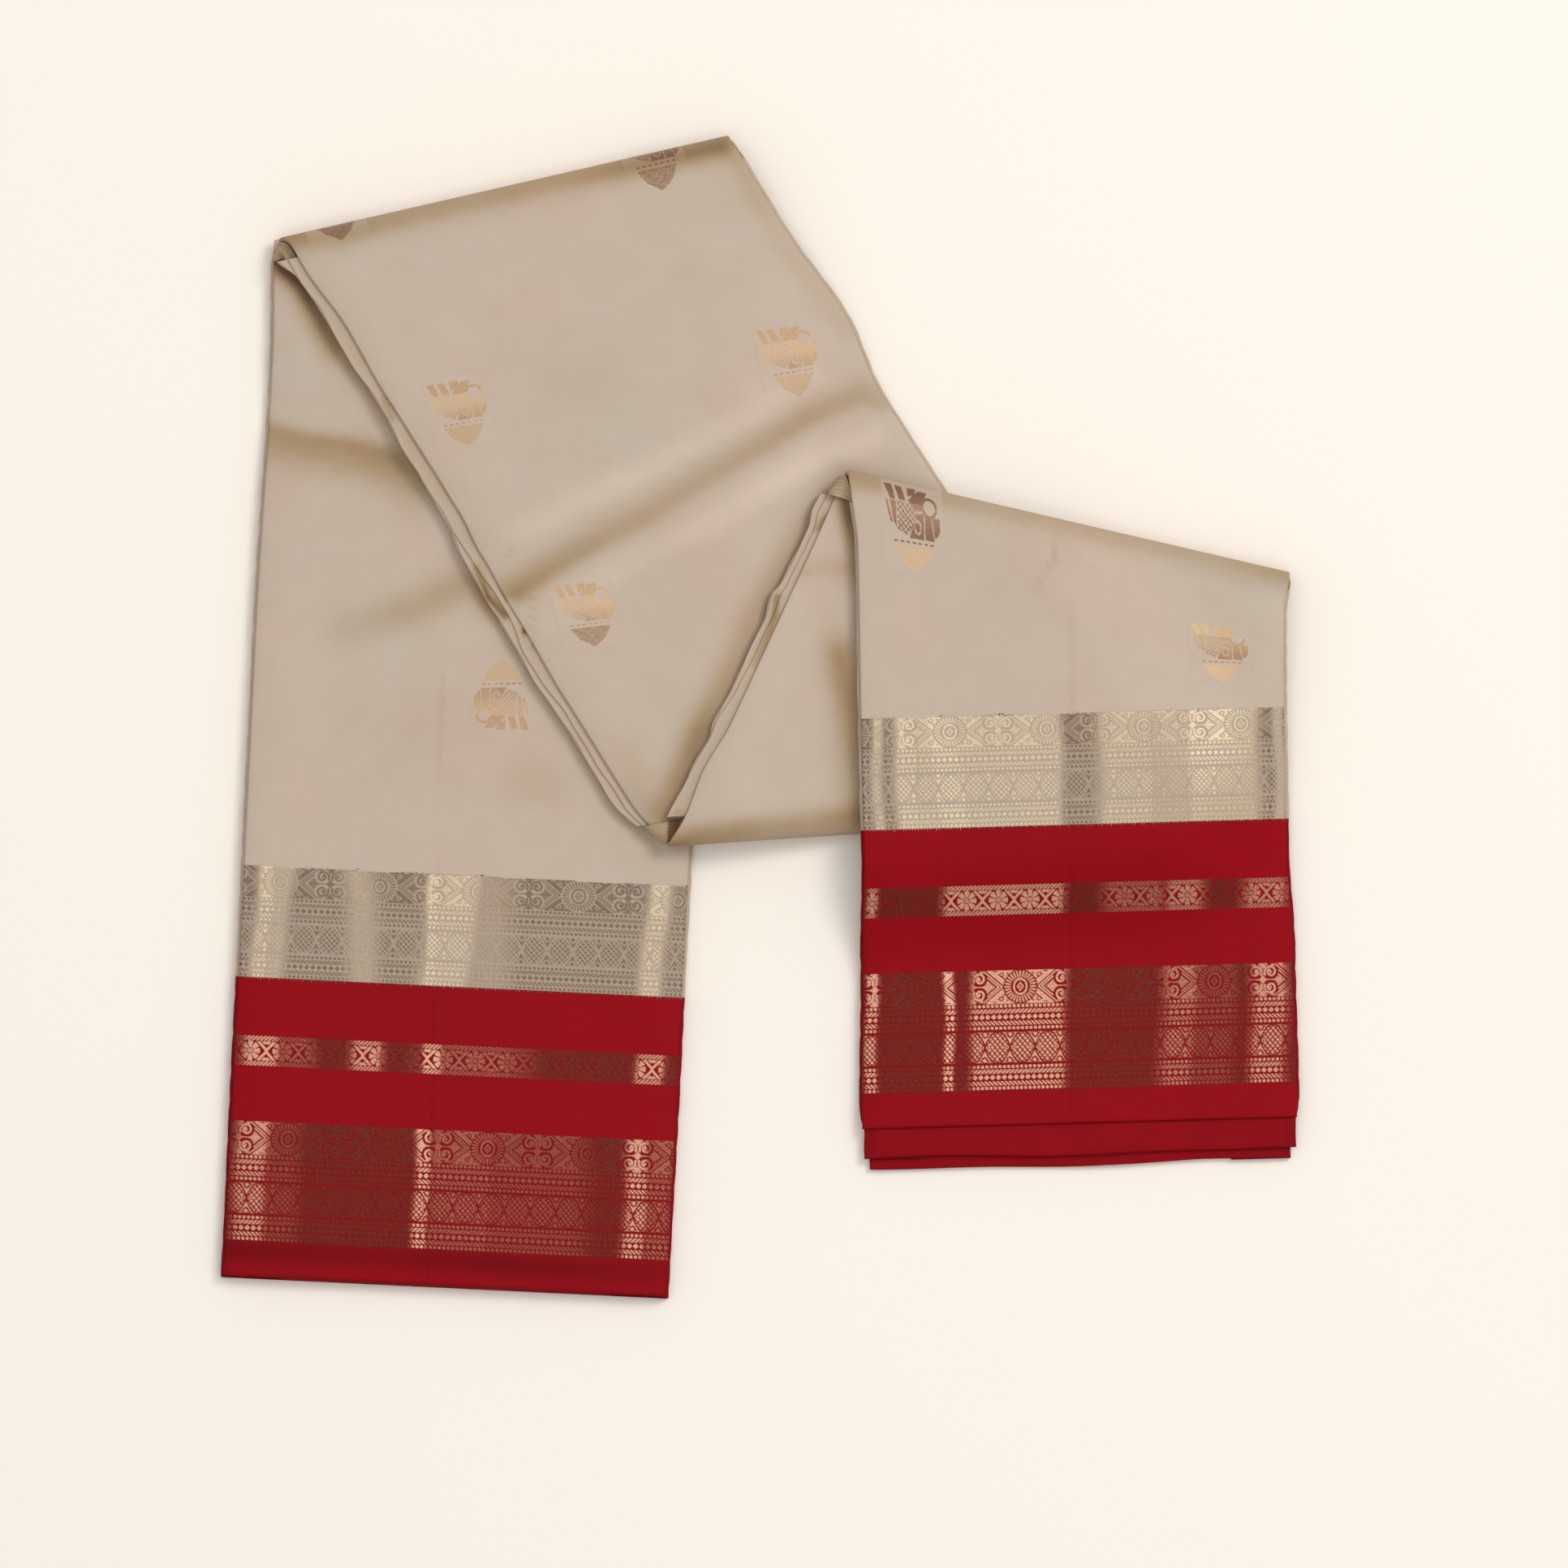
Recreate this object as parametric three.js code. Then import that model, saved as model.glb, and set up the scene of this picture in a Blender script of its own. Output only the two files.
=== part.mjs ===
// A silk saree, folded lengthwise into a many-layered packet and laid down in a zigzag.
// X runs to the right, Y runs away along the stretches, and Z is up from the table.
import * as THREE from 'three'

// Driving sizes, in millimetres
const packetThickness = 8 // all the layers of one stretch, pressed flat
const faceWall = 1.6 // the layer that shows on top
const seamGap = 0.3 // between pieces that touch
const layGap = 0.6 // between stretches that lie loosely on each other
const foldRounding = 10 // how far a turn rounds in from its fold line
const settleStart = 5 // a stretch stays up this far past an edge right below it
const settleRun = 50 // and needs this much ground to come down
const settleMore = 5 // each stretch in between adds this much to both
const borderDepth = 124 // contrast border, from the join to the hem
const bandsDepth = 171 // all the woven bands, the one above the join too
const hemRounding = 0.8 // soft edge of a hem
const leftUnderHem = 1.2 // how far the left leg's lower layers reach past its top hem
const secondHem = 12.5 // the same for the right leg's second and third hems
const thirdHem = 17
const hemTaper = 0.2 // past the top hem, the lower layers narrow at this slope
const thirdHemThickness = 2.7
const edgeDrop = 1.2 // a packet thins by this much at its sides
const edgeDropRun = 12

// How finely a stretch is divided
const sideColumns = [0, 3, 9, 20] // in from each side edge of the face
const panelColumns = 7 // between those
const faceTurnSteps = [5, 26, 56] // degrees around a turned end
const layerTurnSteps = [10, 26, 56]

// Folds and hems, each a straight line from its left end to its right end
const turnLines = {
  leftHem: { leftX: -223.3, leftY: -231.4, rightX: -38.6, rightY: -240.3 },
  topFold: { leftX: -202.4, leftY: 198.3, rightX: -10.7, rightY: 242.1 },
  bottomFold: { leftX: -37.6, leftY: -53.8, rightX: 164.6, rightY: -40.3 },
  secondFold: { leftX: 35.5, leftY: 102.9, rightX: 221.5, rightY: 59.8 },
  rightHem: { leftX: 41.6, leftY: -171.1, rightX: 223.9, rightY: -166.0 },
}

// Side of a packet whose layers end together. out is past the face's edge,
// level runs from the underside (0) to the top of the hidden layers (1).
const plainSide = [
  { level: 0.0, out: 0.1 },
  { level: 0.16, out: 1.0 },
  { level: 0.4, out: 0.9 },
  { level: 0.5, out: 0.2 },
  { level: 0.6, out: 0.9 },
  { level: 0.9, out: 0.6 },
]

// Side of a packet whose lower layers reach out past the face in steps
const diagonalLip = [
  { level: 0.0, out: 8.3 },
  { level: 0.16, out: 9.5 },
  { level: 0.38, out: 9.2 },
  { level: 0.44, out: 5.7 },
  { level: 0.66, out: 5.4 },
  { level: 0.72, out: 1.5 },
  { level: 0.94, out: 1.2 },
]
const thirdLip = [
  { level: 0.0, out: 6.4 },
  { level: 0.16, out: 7.5 },
  { level: 0.4, out: 7.2 },
  { level: 0.48, out: 3.6 },
  { level: 0.72, out: 3.3 },
  { level: 0.8, out: 0.9 },
]
const faceSide = [{ level: 0.5, out: 0.4 }]
const hemSide = [{ level: 0.5, out: 0.8 }]

// The four stretches, from the bottom of the pile up. In sideRows, at is the share of the
// length, and left and right are how far that side comes in from a straight line.
const stretches = {
  leftLeg: {
    from: turnLines.leftHem,
    to: turnLines.topFold,
    hemAt: 'from',
    order: 0,
    over: [],
    sectionSpacing: 22,
    leftReach: 1,
    rightReach: 1,
    sideRows: [
      { at: 0.0, left: 0.0, right: 0.0 },
      { at: 0.6, left: 0.2, right: 1.0 },
      { at: 0.88, left: 1.8, right: 0.6 },
      { at: 1.0, left: 0.2, right: 1.6 },
    ],
    troughs: [
      { fromX: -206, fromY: 128, toX: -150, toY: 104, width: 15, depth: 1.8 },
      { fromX: -188, fromY: 30, toX: -118, toY: 62, width: 13, depth: 1.0 },
    ],
  },
  diagonal: {
    from: turnLines.topFold,
    to: turnLines.bottomFold,
    order: 1,
    over: ['leftLeg'],
    sectionSpacing: 15,
    leftReach: 9.5,
    rightReach: 1,
    sideRows: [
      { at: 0.0, left: 1.2, right: 1.8 },
      { at: 0.12, left: 0.4, right: 2.7 },
      { at: 0.25, left: 0.0, right: -0.2 },
      { at: 0.38, left: 0.2, right: 4.9 },
      { at: 0.52, left: 0.0, right: 4.2 },
      { at: 0.64, left: -2.6, right: 2.8 },
      { at: 0.86, left: -2.6, right: 1.0 },
      { at: 1.0, left: 0.2, right: 1.0 },
    ],
    troughs: [{ fromX: -100, fromY: 50, toX: 44, toY: 131, width: 12, depth: 1.9 }],
  },
  third: {
    from: turnLines.bottomFold,
    to: turnLines.secondFold,
    order: 2,
    over: ['leftLeg', 'diagonal'],
    sectionSpacing: 16,
    leftReach: 7.5,
    rightReach: 1,
    sideRows: [
      { at: 0.0, left: 0.6, right: 1.0 },
      { at: 0.45, left: -0.6, right: 1.6 },
      { at: 1.0, left: 0.6, right: 0.6 },
    ],
    troughs: [{ fromX: 8, fromY: -28, toX: 60, toY: -18, width: 14, depth: 0.9 }],
  },
  rightLeg: {
    from: turnLines.secondFold,
    to: turnLines.rightHem,
    hemAt: 'to',
    order: 3,
    over: ['leftLeg', 'diagonal', 'third'],
    sectionSpacing: 15,
    leftReach: 1,
    rightReach: 1,
    sideRows: [
      { at: 0.0, left: 0.8, right: 1.2 },
      { at: 0.1, left: 3.7, right: 3.6 },
      { at: 0.3, left: 3.4, right: 4.0 },
      { at: 0.55, left: 3.4, right: 3.6 },
      { at: 0.72, left: 2.2, right: 1.6 },
      { at: 1.0, left: 0.2, right: 0.4 },
    ],
    troughs: [{ fromX: 120, fromY: 76, toX: 112, toY: 54, width: 10, depth: 0.8 }],
  },
}

const silk = { color: 0xc3b2a0, roughness: 0.55, metalness: 0.05 }
const silkEdge = { color: 0xa88f74, roughness: 0.7, metalness: 0 }
const borderRed = { color: 0x8c0d18, roughness: 0.5, metalness: 0.1 }
const borderRedEdge = { color: 0x6c0810, roughness: 0.65, metalness: 0.05 }

// Sizes that follow from those
const packetStep = packetThickness + layGap
const layersTop = packetThickness - faceWall - seamGap
const innerColumn = sideColumns[sideColumns.length - 1]

// Underside and top of a wall over the cloth below, and the underside's share of the top's sinking
const faceHeights = [packetThickness - faceWall, packetThickness, 1]
const layerHeights = [0, layersTop, 0]
const secondHemHeights = [thirdHemThickness + seamGap, layersTop, 0]
const thirdHemHeights = [0, thirdHemThickness, 0]

function mix(a, b, share) {
  return a + (b - a) * share
}

function clamp(share) {
  return Math.min(1, Math.max(0, share))
}

function smooth(share) {
  return clamp(share) ** 2 * (3 - 2 * clamp(share))
}

// A value between the rows of a table, eased from row to row
function fromRows(rows, at, column) {
  const next = rows.findIndex((row) => row.at >= at)
  if (next === 0) return rows[0][column]
  if (next < 0) return rows[rows.length - 1][column]
  const [before, after] = [rows[next - 1], rows[next]]
  return mix(before[column], after[column], smooth((at - before.at) / (after.at - before.at)))
}

function lineEnd(line, side) {
  return new THREE.Vector2(line[side + 'X'], line[side + 'Y'])
}

function lineMiddle(line) {
  return lineEnd(line, 'left').lerp(lineEnd(line, 'right'), 0.5)
}

function lengthOf(stretch) {
  return lineMiddle(stretch.from).distanceTo(lineMiddle(stretch.to))
}

// A fold line crosses its stretch on the slant, so what is square to it is longer along the cloth
function slantOf(stretch, line) {
  const along = lineMiddle(stretch.to).sub(lineMiddle(stretch.from)).normalize()
  const across = lineEnd(line, 'right').sub(lineEnd(line, 'left')).normalize()
  return Math.abs(along.cross(across))
}

// Distance along one side edge. The woven bands run square to the hem, so near it both edges
// count the same, and past the bands each edge takes its own share of what is left.
function edgeDistance(stretch, side, along) {
  const length = lengthOf(stretch)
  const edge = lineEnd(stretch.from, side).distanceTo(lineEnd(stretch.to, side))
  const fromHem = (distance) => {
    const past = Math.max(0, distance - bandsDepth)
    return Math.min(distance, bandsDepth) + (past * (edge - bandsDepth)) / (length - bandsDepth)
  }
  if (stretch.hemAt === 'from') return fromHem(along)
  if (stretch.hemAt === 'to') return edge - fromHem(length - along)
  return (along * edge) / length
}

// One side edge of a stretch's hidden layers, before it is brought in
function edgePoint(stretch, side, along) {
  const [start, end] = [lineEnd(stretch.from, side), lineEnd(stretch.to, side)]
  return start.lerp(end, edgeDistance(stretch, side, along) / start.distanceTo(end))
}

// Both side edges of a stretch's hidden layers, at a distance along its middle
function edgesAt(stretch, along) {
  const length = lengthOf(stretch)
  const taper = hemTaper * Math.max(0, along - length)
  const left = edgePoint(stretch, 'left', along)
  const right = edgePoint(stretch, 'right', along)
  const across = right.clone().sub(left).normalize()
  left.addScaledVector(across, fromRows(stretch.sideRows, along / length, 'left') + taper)
  right.addScaledVector(across, -fromRows(stretch.sideRows, along / length, 'right') - taper)
  return { left, right, across }
}

function distanceToSegment(point, start, end) {
  const side = end.clone().sub(start)
  const reach = point.clone().sub(start)
  return reach.distanceTo(side.clone().multiplyScalar(clamp(reach.dot(side) / side.lengthSq())))
}

// Distance from a point to the outline of a stretch, 0 inside it
function distanceOutside(stretch, point) {
  const { from, to } = stretch
  const corners = [lineEnd(from, 'left'), lineEnd(from, 'right'), lineEnd(to, 'right'), lineEnd(to, 'left')]
  const sides = corners.map((corner, index) => [corner, corners[(index + 1) % corners.length]])
  const turns = sides.map(([a, b]) => Math.sign(b.clone().sub(a).cross(point.clone().sub(a))))
  if (Math.abs(turns.reduce((sum, turn) => sum + turn)) === sides.length) return 0
  return Math.min(...sides.map(([a, b]) => distanceToSegment(point, a, b)))
}

// How high the cloth below holds a stretch up at a point
function liftAt(stretch, point) {
  return stretch.over.reduce((lift, below) => {
    const more = settleMore * (stretch.order - stretches[below].order - 1)
    const past = distanceOutside(stretches[below], point) - settleStart - more
    return lift + packetStep * (1 - smooth(past / (settleRun + more)))
  }, 0)
}

// How far the top sinks at a point, for the troughs and the thin sides
function sinkAt(stretch, point, fromEdge) {
  const thinning = edgeDrop * (1 - clamp(fromEdge / edgeDropRun)) ** 2
  return stretch.troughs.reduce((sink, row) => {
    const [start, end] = [new THREE.Vector2(row.fromX, row.fromY), new THREE.Vector2(row.toX, row.toY)]
    return sink + row.depth * Math.exp(-((distanceToSegment(point, start, end) / row.width) ** 2))
  }, thinning)
}

// One point of a section. offset tells the distance from the face's left edge out of its width,
// and spot has the distance along, the height over the cloth below, and the share of the sink.
function placePoint(stretch, offset, spot) {
  const { left, right, across } = edgesAt(stretch, spot.along)
  const width = left.distanceTo(right) - stretch.leftReach - stretch.rightReach
  const point = left.addScaledVector(across, stretch.leftReach + offset(width))
  const fromEdge = Math.min(offset(width), width - offset(width))
  const sink = spot.sink * sinkAt(stretch, point, fromEdge)
  return new THREE.Vector3(point.x, point.y, liftAt(stretch, point) + spot.height - sink)
}

// Columns across the face, from its left edge to its right edge
const columns = [
  ...sideColumns.map((distance) => () => distance),
  ...Array.from({ length: panelColumns - 1 }, (_, index) => {
    return (width) => mix(innerColumn, width - innerColumn, (index + 1) / panelColumns)
  }),
  ...sideColumns.map((distance) => (width) => width - distance).reverse(),
]

function spotBetween(bottom, top, level) {
  return {
    along: mix(bottom.along, top.along, level),
    height: mix(bottom.height, top.height, level),
    sink: mix(bottom.sink, top.sink, level),
  }
}

// The closed outline of one section: underside, right side, top, left side
function sectionRing(stretch, { bottom, top }, leftRows, rightRows) {
  const place = (offset, spot) => placePoint(stretch, offset, spot)
  const right = rightRows.map((row) => place((width) => width + row.out, spotBetween(bottom, top, row.level)))
  const left = leftRows.map((row) => place(() => -row.out, spotBetween(bottom, top, row.level)))
  const under = columns.map((offset) => place(offset, bottom))
  const over = columns.map((offset) => place(offset, top))
  return [...under, ...right, ...over.reverse(), ...left.reverse()]
}

// Triangles over a small flat polygon of a ring's points, turned the way that the ring runs
function polygonTriangles(ring, corners) {
  const points = corners.map((corner) => ring[corner])
  const facing = points.reduce((sum, point, index) => {
    return sum.add(point.clone().cross(points[(index + 1) % points.length]))
  }, new THREE.Vector3())
  const across = points[1].clone().sub(points[0]).normalize()
  const rise = facing.cross(across).normalize()
  const outline = points.map((point) => new THREE.Vector2(point.dot(across), point.dot(rise)))
  return THREE.ShapeUtils.triangulateShape(outline, []).map((triangle) => {
    const [a, b, c] = triangle.map((index) => corners[index])
    return THREE.ShapeUtils.area(triangle.map((index) => outline[index])) > 0 ? [a, b, c] : [a, c, b]
  })
}

// The triangles that close one end of a solid: column by column, then both layered sides
function capTriangles(ring, leftCount, rightCount) {
  const last = columns.length - 1
  const over = (column) => last + rightCount + columns.length - column
  const middle = columns.slice(1).flatMap((_, column) => [
    [column, column + 1, over(column + 1)],
    [column, over(column + 1), over(column)],
  ])
  const rightCorners = Array.from({ length: rightCount + 2 }, (_, index) => last + index)
  const leftCorners = Array.from({ length: leftCount + 2 }, (_, index) => (over(0) + index) % ring.length)
  return [...middle, ...polygonTriangles(ring, rightCorners), ...polygonTriangles(ring, leftCorners)]
}

// A closed solid through a row of sections. Tops and undersides are split along the same
// diagonals, so that walls that lie on each other stay parallel.
function solidThrough(stretch, sections, leftRows, rightRows) {
  const rings = sections.map((section) => sectionRing(stretch, section, leftRows, rightRows))
  const count = rings[0].length
  const lastRing = (rings.length - 1) * count
  const topStart = columns.length + rightRows.length
  const topEnd = topStart + columns.length - 1
  const triangles = []
  for (let ring = 0; ring < rings.length - 1; ring += 1) {
    for (let spot = 0; spot < count; spot += 1) {
      const [a, b] = [ring * count + spot, ring * count + ((spot + 1) % count)]
      const onTop = spot >= topStart && spot < topEnd
      triangles.push(...(onTop
        ? [[a, b, a + count], [b, b + count, a + count]]
        : [[a, b, b + count], [a, b + count, a + count]]))
    }
  }
  const cap = (ring) => capTriangles(ring, leftRows.length, rightRows.length)
  for (const [a, b, c] of cap(rings[0])) triangles.push([a, c, b])
  for (const [a, b, c] of cap(rings.at(-1))) {
    triangles.push([a + lastRing, b + lastRing, c + lastRing])
  }
  const runsAway = lineMiddle(stretch.to).y > lineMiddle(stretch.from).y
  const faces = triangles.flatMap(([a, b, c]) => (runsAway ? [a, c, b] : [a, b, c]))
  const geometry = new THREE.BufferGeometry().setFromPoints(rings.flat())
  geometry.setIndex(faces)
  geometry.computeVertexNormals()
  return geometry
}

function plainSection(along, bottomHeight, topHeight, bottomSink) {
  return {
    bottom: { along, height: bottomHeight, sink: bottomSink },
    top: { along, height: topHeight, sink: 1 },
  }
}

// Plain sections from one distance along to another, evenly spaced
function evenSections(stretch, start, end, heights) {
  const steps = Math.max(1, Math.round((end - start) / stretch.sectionSpacing))
  const spread = Array.from({ length: steps + 1 }, (_, index) => mix(start, end, index / steps))
  return spread.map((along) => plainSection(along, ...heights))
}

// Round a turn by some degrees, level with the top at 90: the run in from the fold line,
// as a share of the rounding, and the rise
function aroundTurn(degrees) {
  return { run: 1 - Math.cos((degrees * Math.PI) / 180), rise: Math.sin((degrees * Math.PI) / 180) }
}

// A face wall bends around a fold at its start, as a quarter of the turn
function turnedFace(stretch) {
  return faceTurnSteps.map((degrees) => {
    const { run, rise } = aroundTurn(degrees)
    const spot = (inset) => ({
      along: (inset + (foldRounding - inset) * run) / slantOf(stretch, stretch.from),
      height: (packetThickness - inset) * rise,
      sink: rise,
    })
    return { bottom: spot(faceWall), top: spot(0) }
  })
}

// The hidden layers thin out inside that turn
function turnedLayers(stretch) {
  const inset = faceWall + seamGap
  return layerTurnSteps.map((degrees) => {
    const { run, rise } = aroundTurn(degrees)
    const along = (inset + (foldRounding - inset) * run) / slantOf(stretch, stretch.from)
    return { bottom: { along, height: 0, sink: 0 }, top: { along, height: layersTop * rise, sink: rise } }
  })
}

// At its far end a stretch's layers curl up from below into the next turn, under a face that stays flat
function curledAlong(stretch, degrees) {
  return lengthOf(stretch) - (foldRounding * aroundTurn(degrees).run) / slantOf(stretch, stretch.to)
}

function curledLayers(stretch) {
  return layerTurnSteps.toReversed().map((degrees) => {
    const along = curledAlong(stretch, degrees)
    const left = 1 - aroundTurn(degrees).rise
    return {
      bottom: { along, height: layersTop * left, sink: left },
      top: { along, height: layersTop, sink: 1 },
    }
  })
}

function faceOverCurl(stretch) {
  const steps = layerTurnSteps.slice(1).toReversed()
  return steps.map((degrees) => plainSection(curledAlong(stretch, degrees), ...faceHeights))
}

// A soft hem: at its edge the wall thins to its middle
function hemSection(along, heights) {
  const { bottom, top } = plainSection(along, ...heights)
  return { bottom: spotBetween(bottom, top, 0.3), top: spotBetween(bottom, top, 0.7) }
}

function mesh(name, geometry, look) {
  const solid = new THREE.Mesh(geometry, new THREE.MeshStandardMaterial(look))
  solid.name = name
  return solid
}

// The left leg: its hem is the start of the cloth, and its far end goes into the top fold
function buildLeftLeg() {
  const stretch = stretches.leftLeg
  const length = lengthOf(stretch)
  const start = borderDepth + seamGap
  const curlStart = curledAlong(stretch, 90)
  return [
    mesh('left_leg_body', solidThrough(stretch, [
      ...evenSections(stretch, start, curlStart, faceHeights),
      ...faceOverCurl(stretch),
      hemSection(length, faceHeights),
    ], faceSide, faceSide), silk),
    mesh('left_leg_body_layers', solidThrough(stretch, [
      ...evenSections(stretch, start, curlStart, layerHeights),
      ...curledLayers(stretch),
    ], plainSide, plainSide), silkEdge),
    mesh('left_leg_border', solidThrough(stretch, [
      hemSection(0, faceHeights),
      ...evenSections(stretch, hemRounding, borderDepth, faceHeights),
    ], hemSide, hemSide), borderRed),
    mesh('left_leg_border_layers', solidThrough(stretch, [
      hemSection(-leftUnderHem, layerHeights),
      ...evenSections(stretch, hemRounding, borderDepth, layerHeights),
    ], plainSide, plainSide), borderRedEdge),
  ]
}

// The diagonal and the third stretch each run from one turn to the next
function buildMiddle(name, stretch, lip) {
  const length = lengthOf(stretch)
  const turned = foldRounding / slantOf(stretch, stretch.from)
  const curlStart = curledAlong(stretch, 90)
  return [
    mesh(name + '_body', solidThrough(stretch, [
      ...turnedFace(stretch),
      ...evenSections(stretch, turned, curlStart, faceHeights),
      ...faceOverCurl(stretch),
      hemSection(length, faceHeights),
    ], faceSide, faceSide), silk),
    mesh(name + '_layers', solidThrough(stretch, [
      ...turnedLayers(stretch),
      ...evenSections(stretch, turned, curlStart, layerHeights),
      ...curledLayers(stretch),
    ], lip, plainSide), silkEdge),
  ]
}

// The right leg: it ends in three hems, each lower one reaching further than the one above
function buildRightLeg() {
  const stretch = stretches.rightLeg
  const length = lengthOf(stretch)
  const join = length - borderDepth
  const turned = foldRounding / slantOf(stretch, stretch.from)
  const borderSolid = (hem, heights) => solidThrough(stretch, [
    ...evenSections(stretch, join, length - hemRounding, heights),
    ...(hem > 0 ? [plainSection(length + hem - hemRounding, ...heights)] : []),
    hemSection(length + hem, heights),
  ], hemSide, hemSide)
  return [
    mesh('right_leg_body', solidThrough(stretch, [
      ...turnedFace(stretch),
      ...evenSections(stretch, turned, join - seamGap, faceHeights),
    ], faceSide, faceSide), silk),
    mesh('right_leg_body_layers', solidThrough(stretch, [
      ...turnedLayers(stretch),
      ...evenSections(stretch, turned, join - seamGap, layerHeights),
    ], plainSide, plainSide), silkEdge),
    mesh('right_leg_border', borderSolid(0, faceHeights), borderRed),
    mesh('right_leg_border_second', borderSolid(secondHem, secondHemHeights), borderRedEdge),
    mesh('right_leg_border_third', borderSolid(thirdHem, thirdHemHeights), borderRedEdge),
  ]
}

const saree = new THREE.Group()
saree.add(...buildLeftLeg())
saree.add(...buildMiddle('diagonal', stretches.diagonal, diagonalLip))
saree.add(...buildMiddle('third', stretches.third, thirdLip))
saree.add(...buildRightLeg())

export default saree
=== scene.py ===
# A silk saree, folded lengthwise into a many-layered packet and laid down in a zigzag.
# Tables are in millimetres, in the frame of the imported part: X to the right, Y away, Z up.
import math
import bpy
import numpy as np
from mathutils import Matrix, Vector


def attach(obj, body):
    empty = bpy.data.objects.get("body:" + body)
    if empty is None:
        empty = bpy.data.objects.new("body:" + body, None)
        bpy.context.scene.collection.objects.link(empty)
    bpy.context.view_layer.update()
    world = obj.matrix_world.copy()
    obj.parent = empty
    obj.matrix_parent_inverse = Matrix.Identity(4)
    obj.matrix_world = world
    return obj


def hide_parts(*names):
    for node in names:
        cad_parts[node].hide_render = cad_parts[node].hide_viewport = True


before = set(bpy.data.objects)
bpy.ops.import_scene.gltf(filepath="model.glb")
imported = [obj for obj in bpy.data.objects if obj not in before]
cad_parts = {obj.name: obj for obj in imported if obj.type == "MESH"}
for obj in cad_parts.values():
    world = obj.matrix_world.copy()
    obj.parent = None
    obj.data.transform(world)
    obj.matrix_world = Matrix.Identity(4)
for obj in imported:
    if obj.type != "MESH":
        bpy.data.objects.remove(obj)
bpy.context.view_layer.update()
bpy.context.scene.view_settings.view_transform = "Standard"
mm = 0.001

# How the packet lies
packet = {
    "thickness": 8.0,  # all the layers of one stretch, pressed flat
    "faceWall": 1.6,  # the layer on top
    "seamGap": 0.3,
    "layGap": 0.6,  # between stretches
    "rounding": 10.0,  # how far a turn rounds in from its fold line
    "quarterTurn": 14.2,  # cloth in a quarter of a turn
    "settleStart": 5.0,  # a stretch stays up this far past an edge below it
    "settleRun": 50.0,  # and comes down over this
    "settleMore": 5.0,
    "edgeDrop": 1.2,  # a packet thins at its sides
    "edgeDropRun": 12.0,
    "plies": 6,  # folded edges that show in the side of a packet
}
layersTop = packet["thickness"] - packet["faceWall"] - packet["seamGap"]  # under the face wall
packetStep = packet["thickness"] + packet["layGap"]  # from one stretch to the next

# Woven bands, by their distance from the hem
bands = {
    "edge": 13.0,  # where the wide gold band begins
    "wide": 65.0,  # and ends
    "between": 87.0,  # where the narrow one begins
    "narrow": 100.0,
    "join": 124.0,  # the red ends and the cream band begins
    "cream": 171.0,
    "weftEnds": 1.7,  # how far short ends of cream weft reach over the red
}

# Folds and hems, from the left end to the right end
turnLines = {
    "leftHem": ((-223.3, -231.4), (-38.6, -240.3)),
    "topFold": ((-202.4, 198.3), (-10.7, 242.1)),
    "bottomFold": ((-37.6, -53.8), (164.6, -40.3)),
    "secondFold": ((35.5, 102.9), (221.5, 59.8)),
    "rightHem": ((41.6, -171.1), (223.9, -166.0)),
}


# Painted shade where the silk turns from the light, painted highlight where the depth is below 0:
# a path of X, Y and depth of tone, and how far that fades to its sides, or to its left and its right
def shadeAlong(reach, *path):
    left, right = reach if isinstance(reach, tuple) else (reach, reach)
    return {"left": left, "right": right, "path": path}
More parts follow.
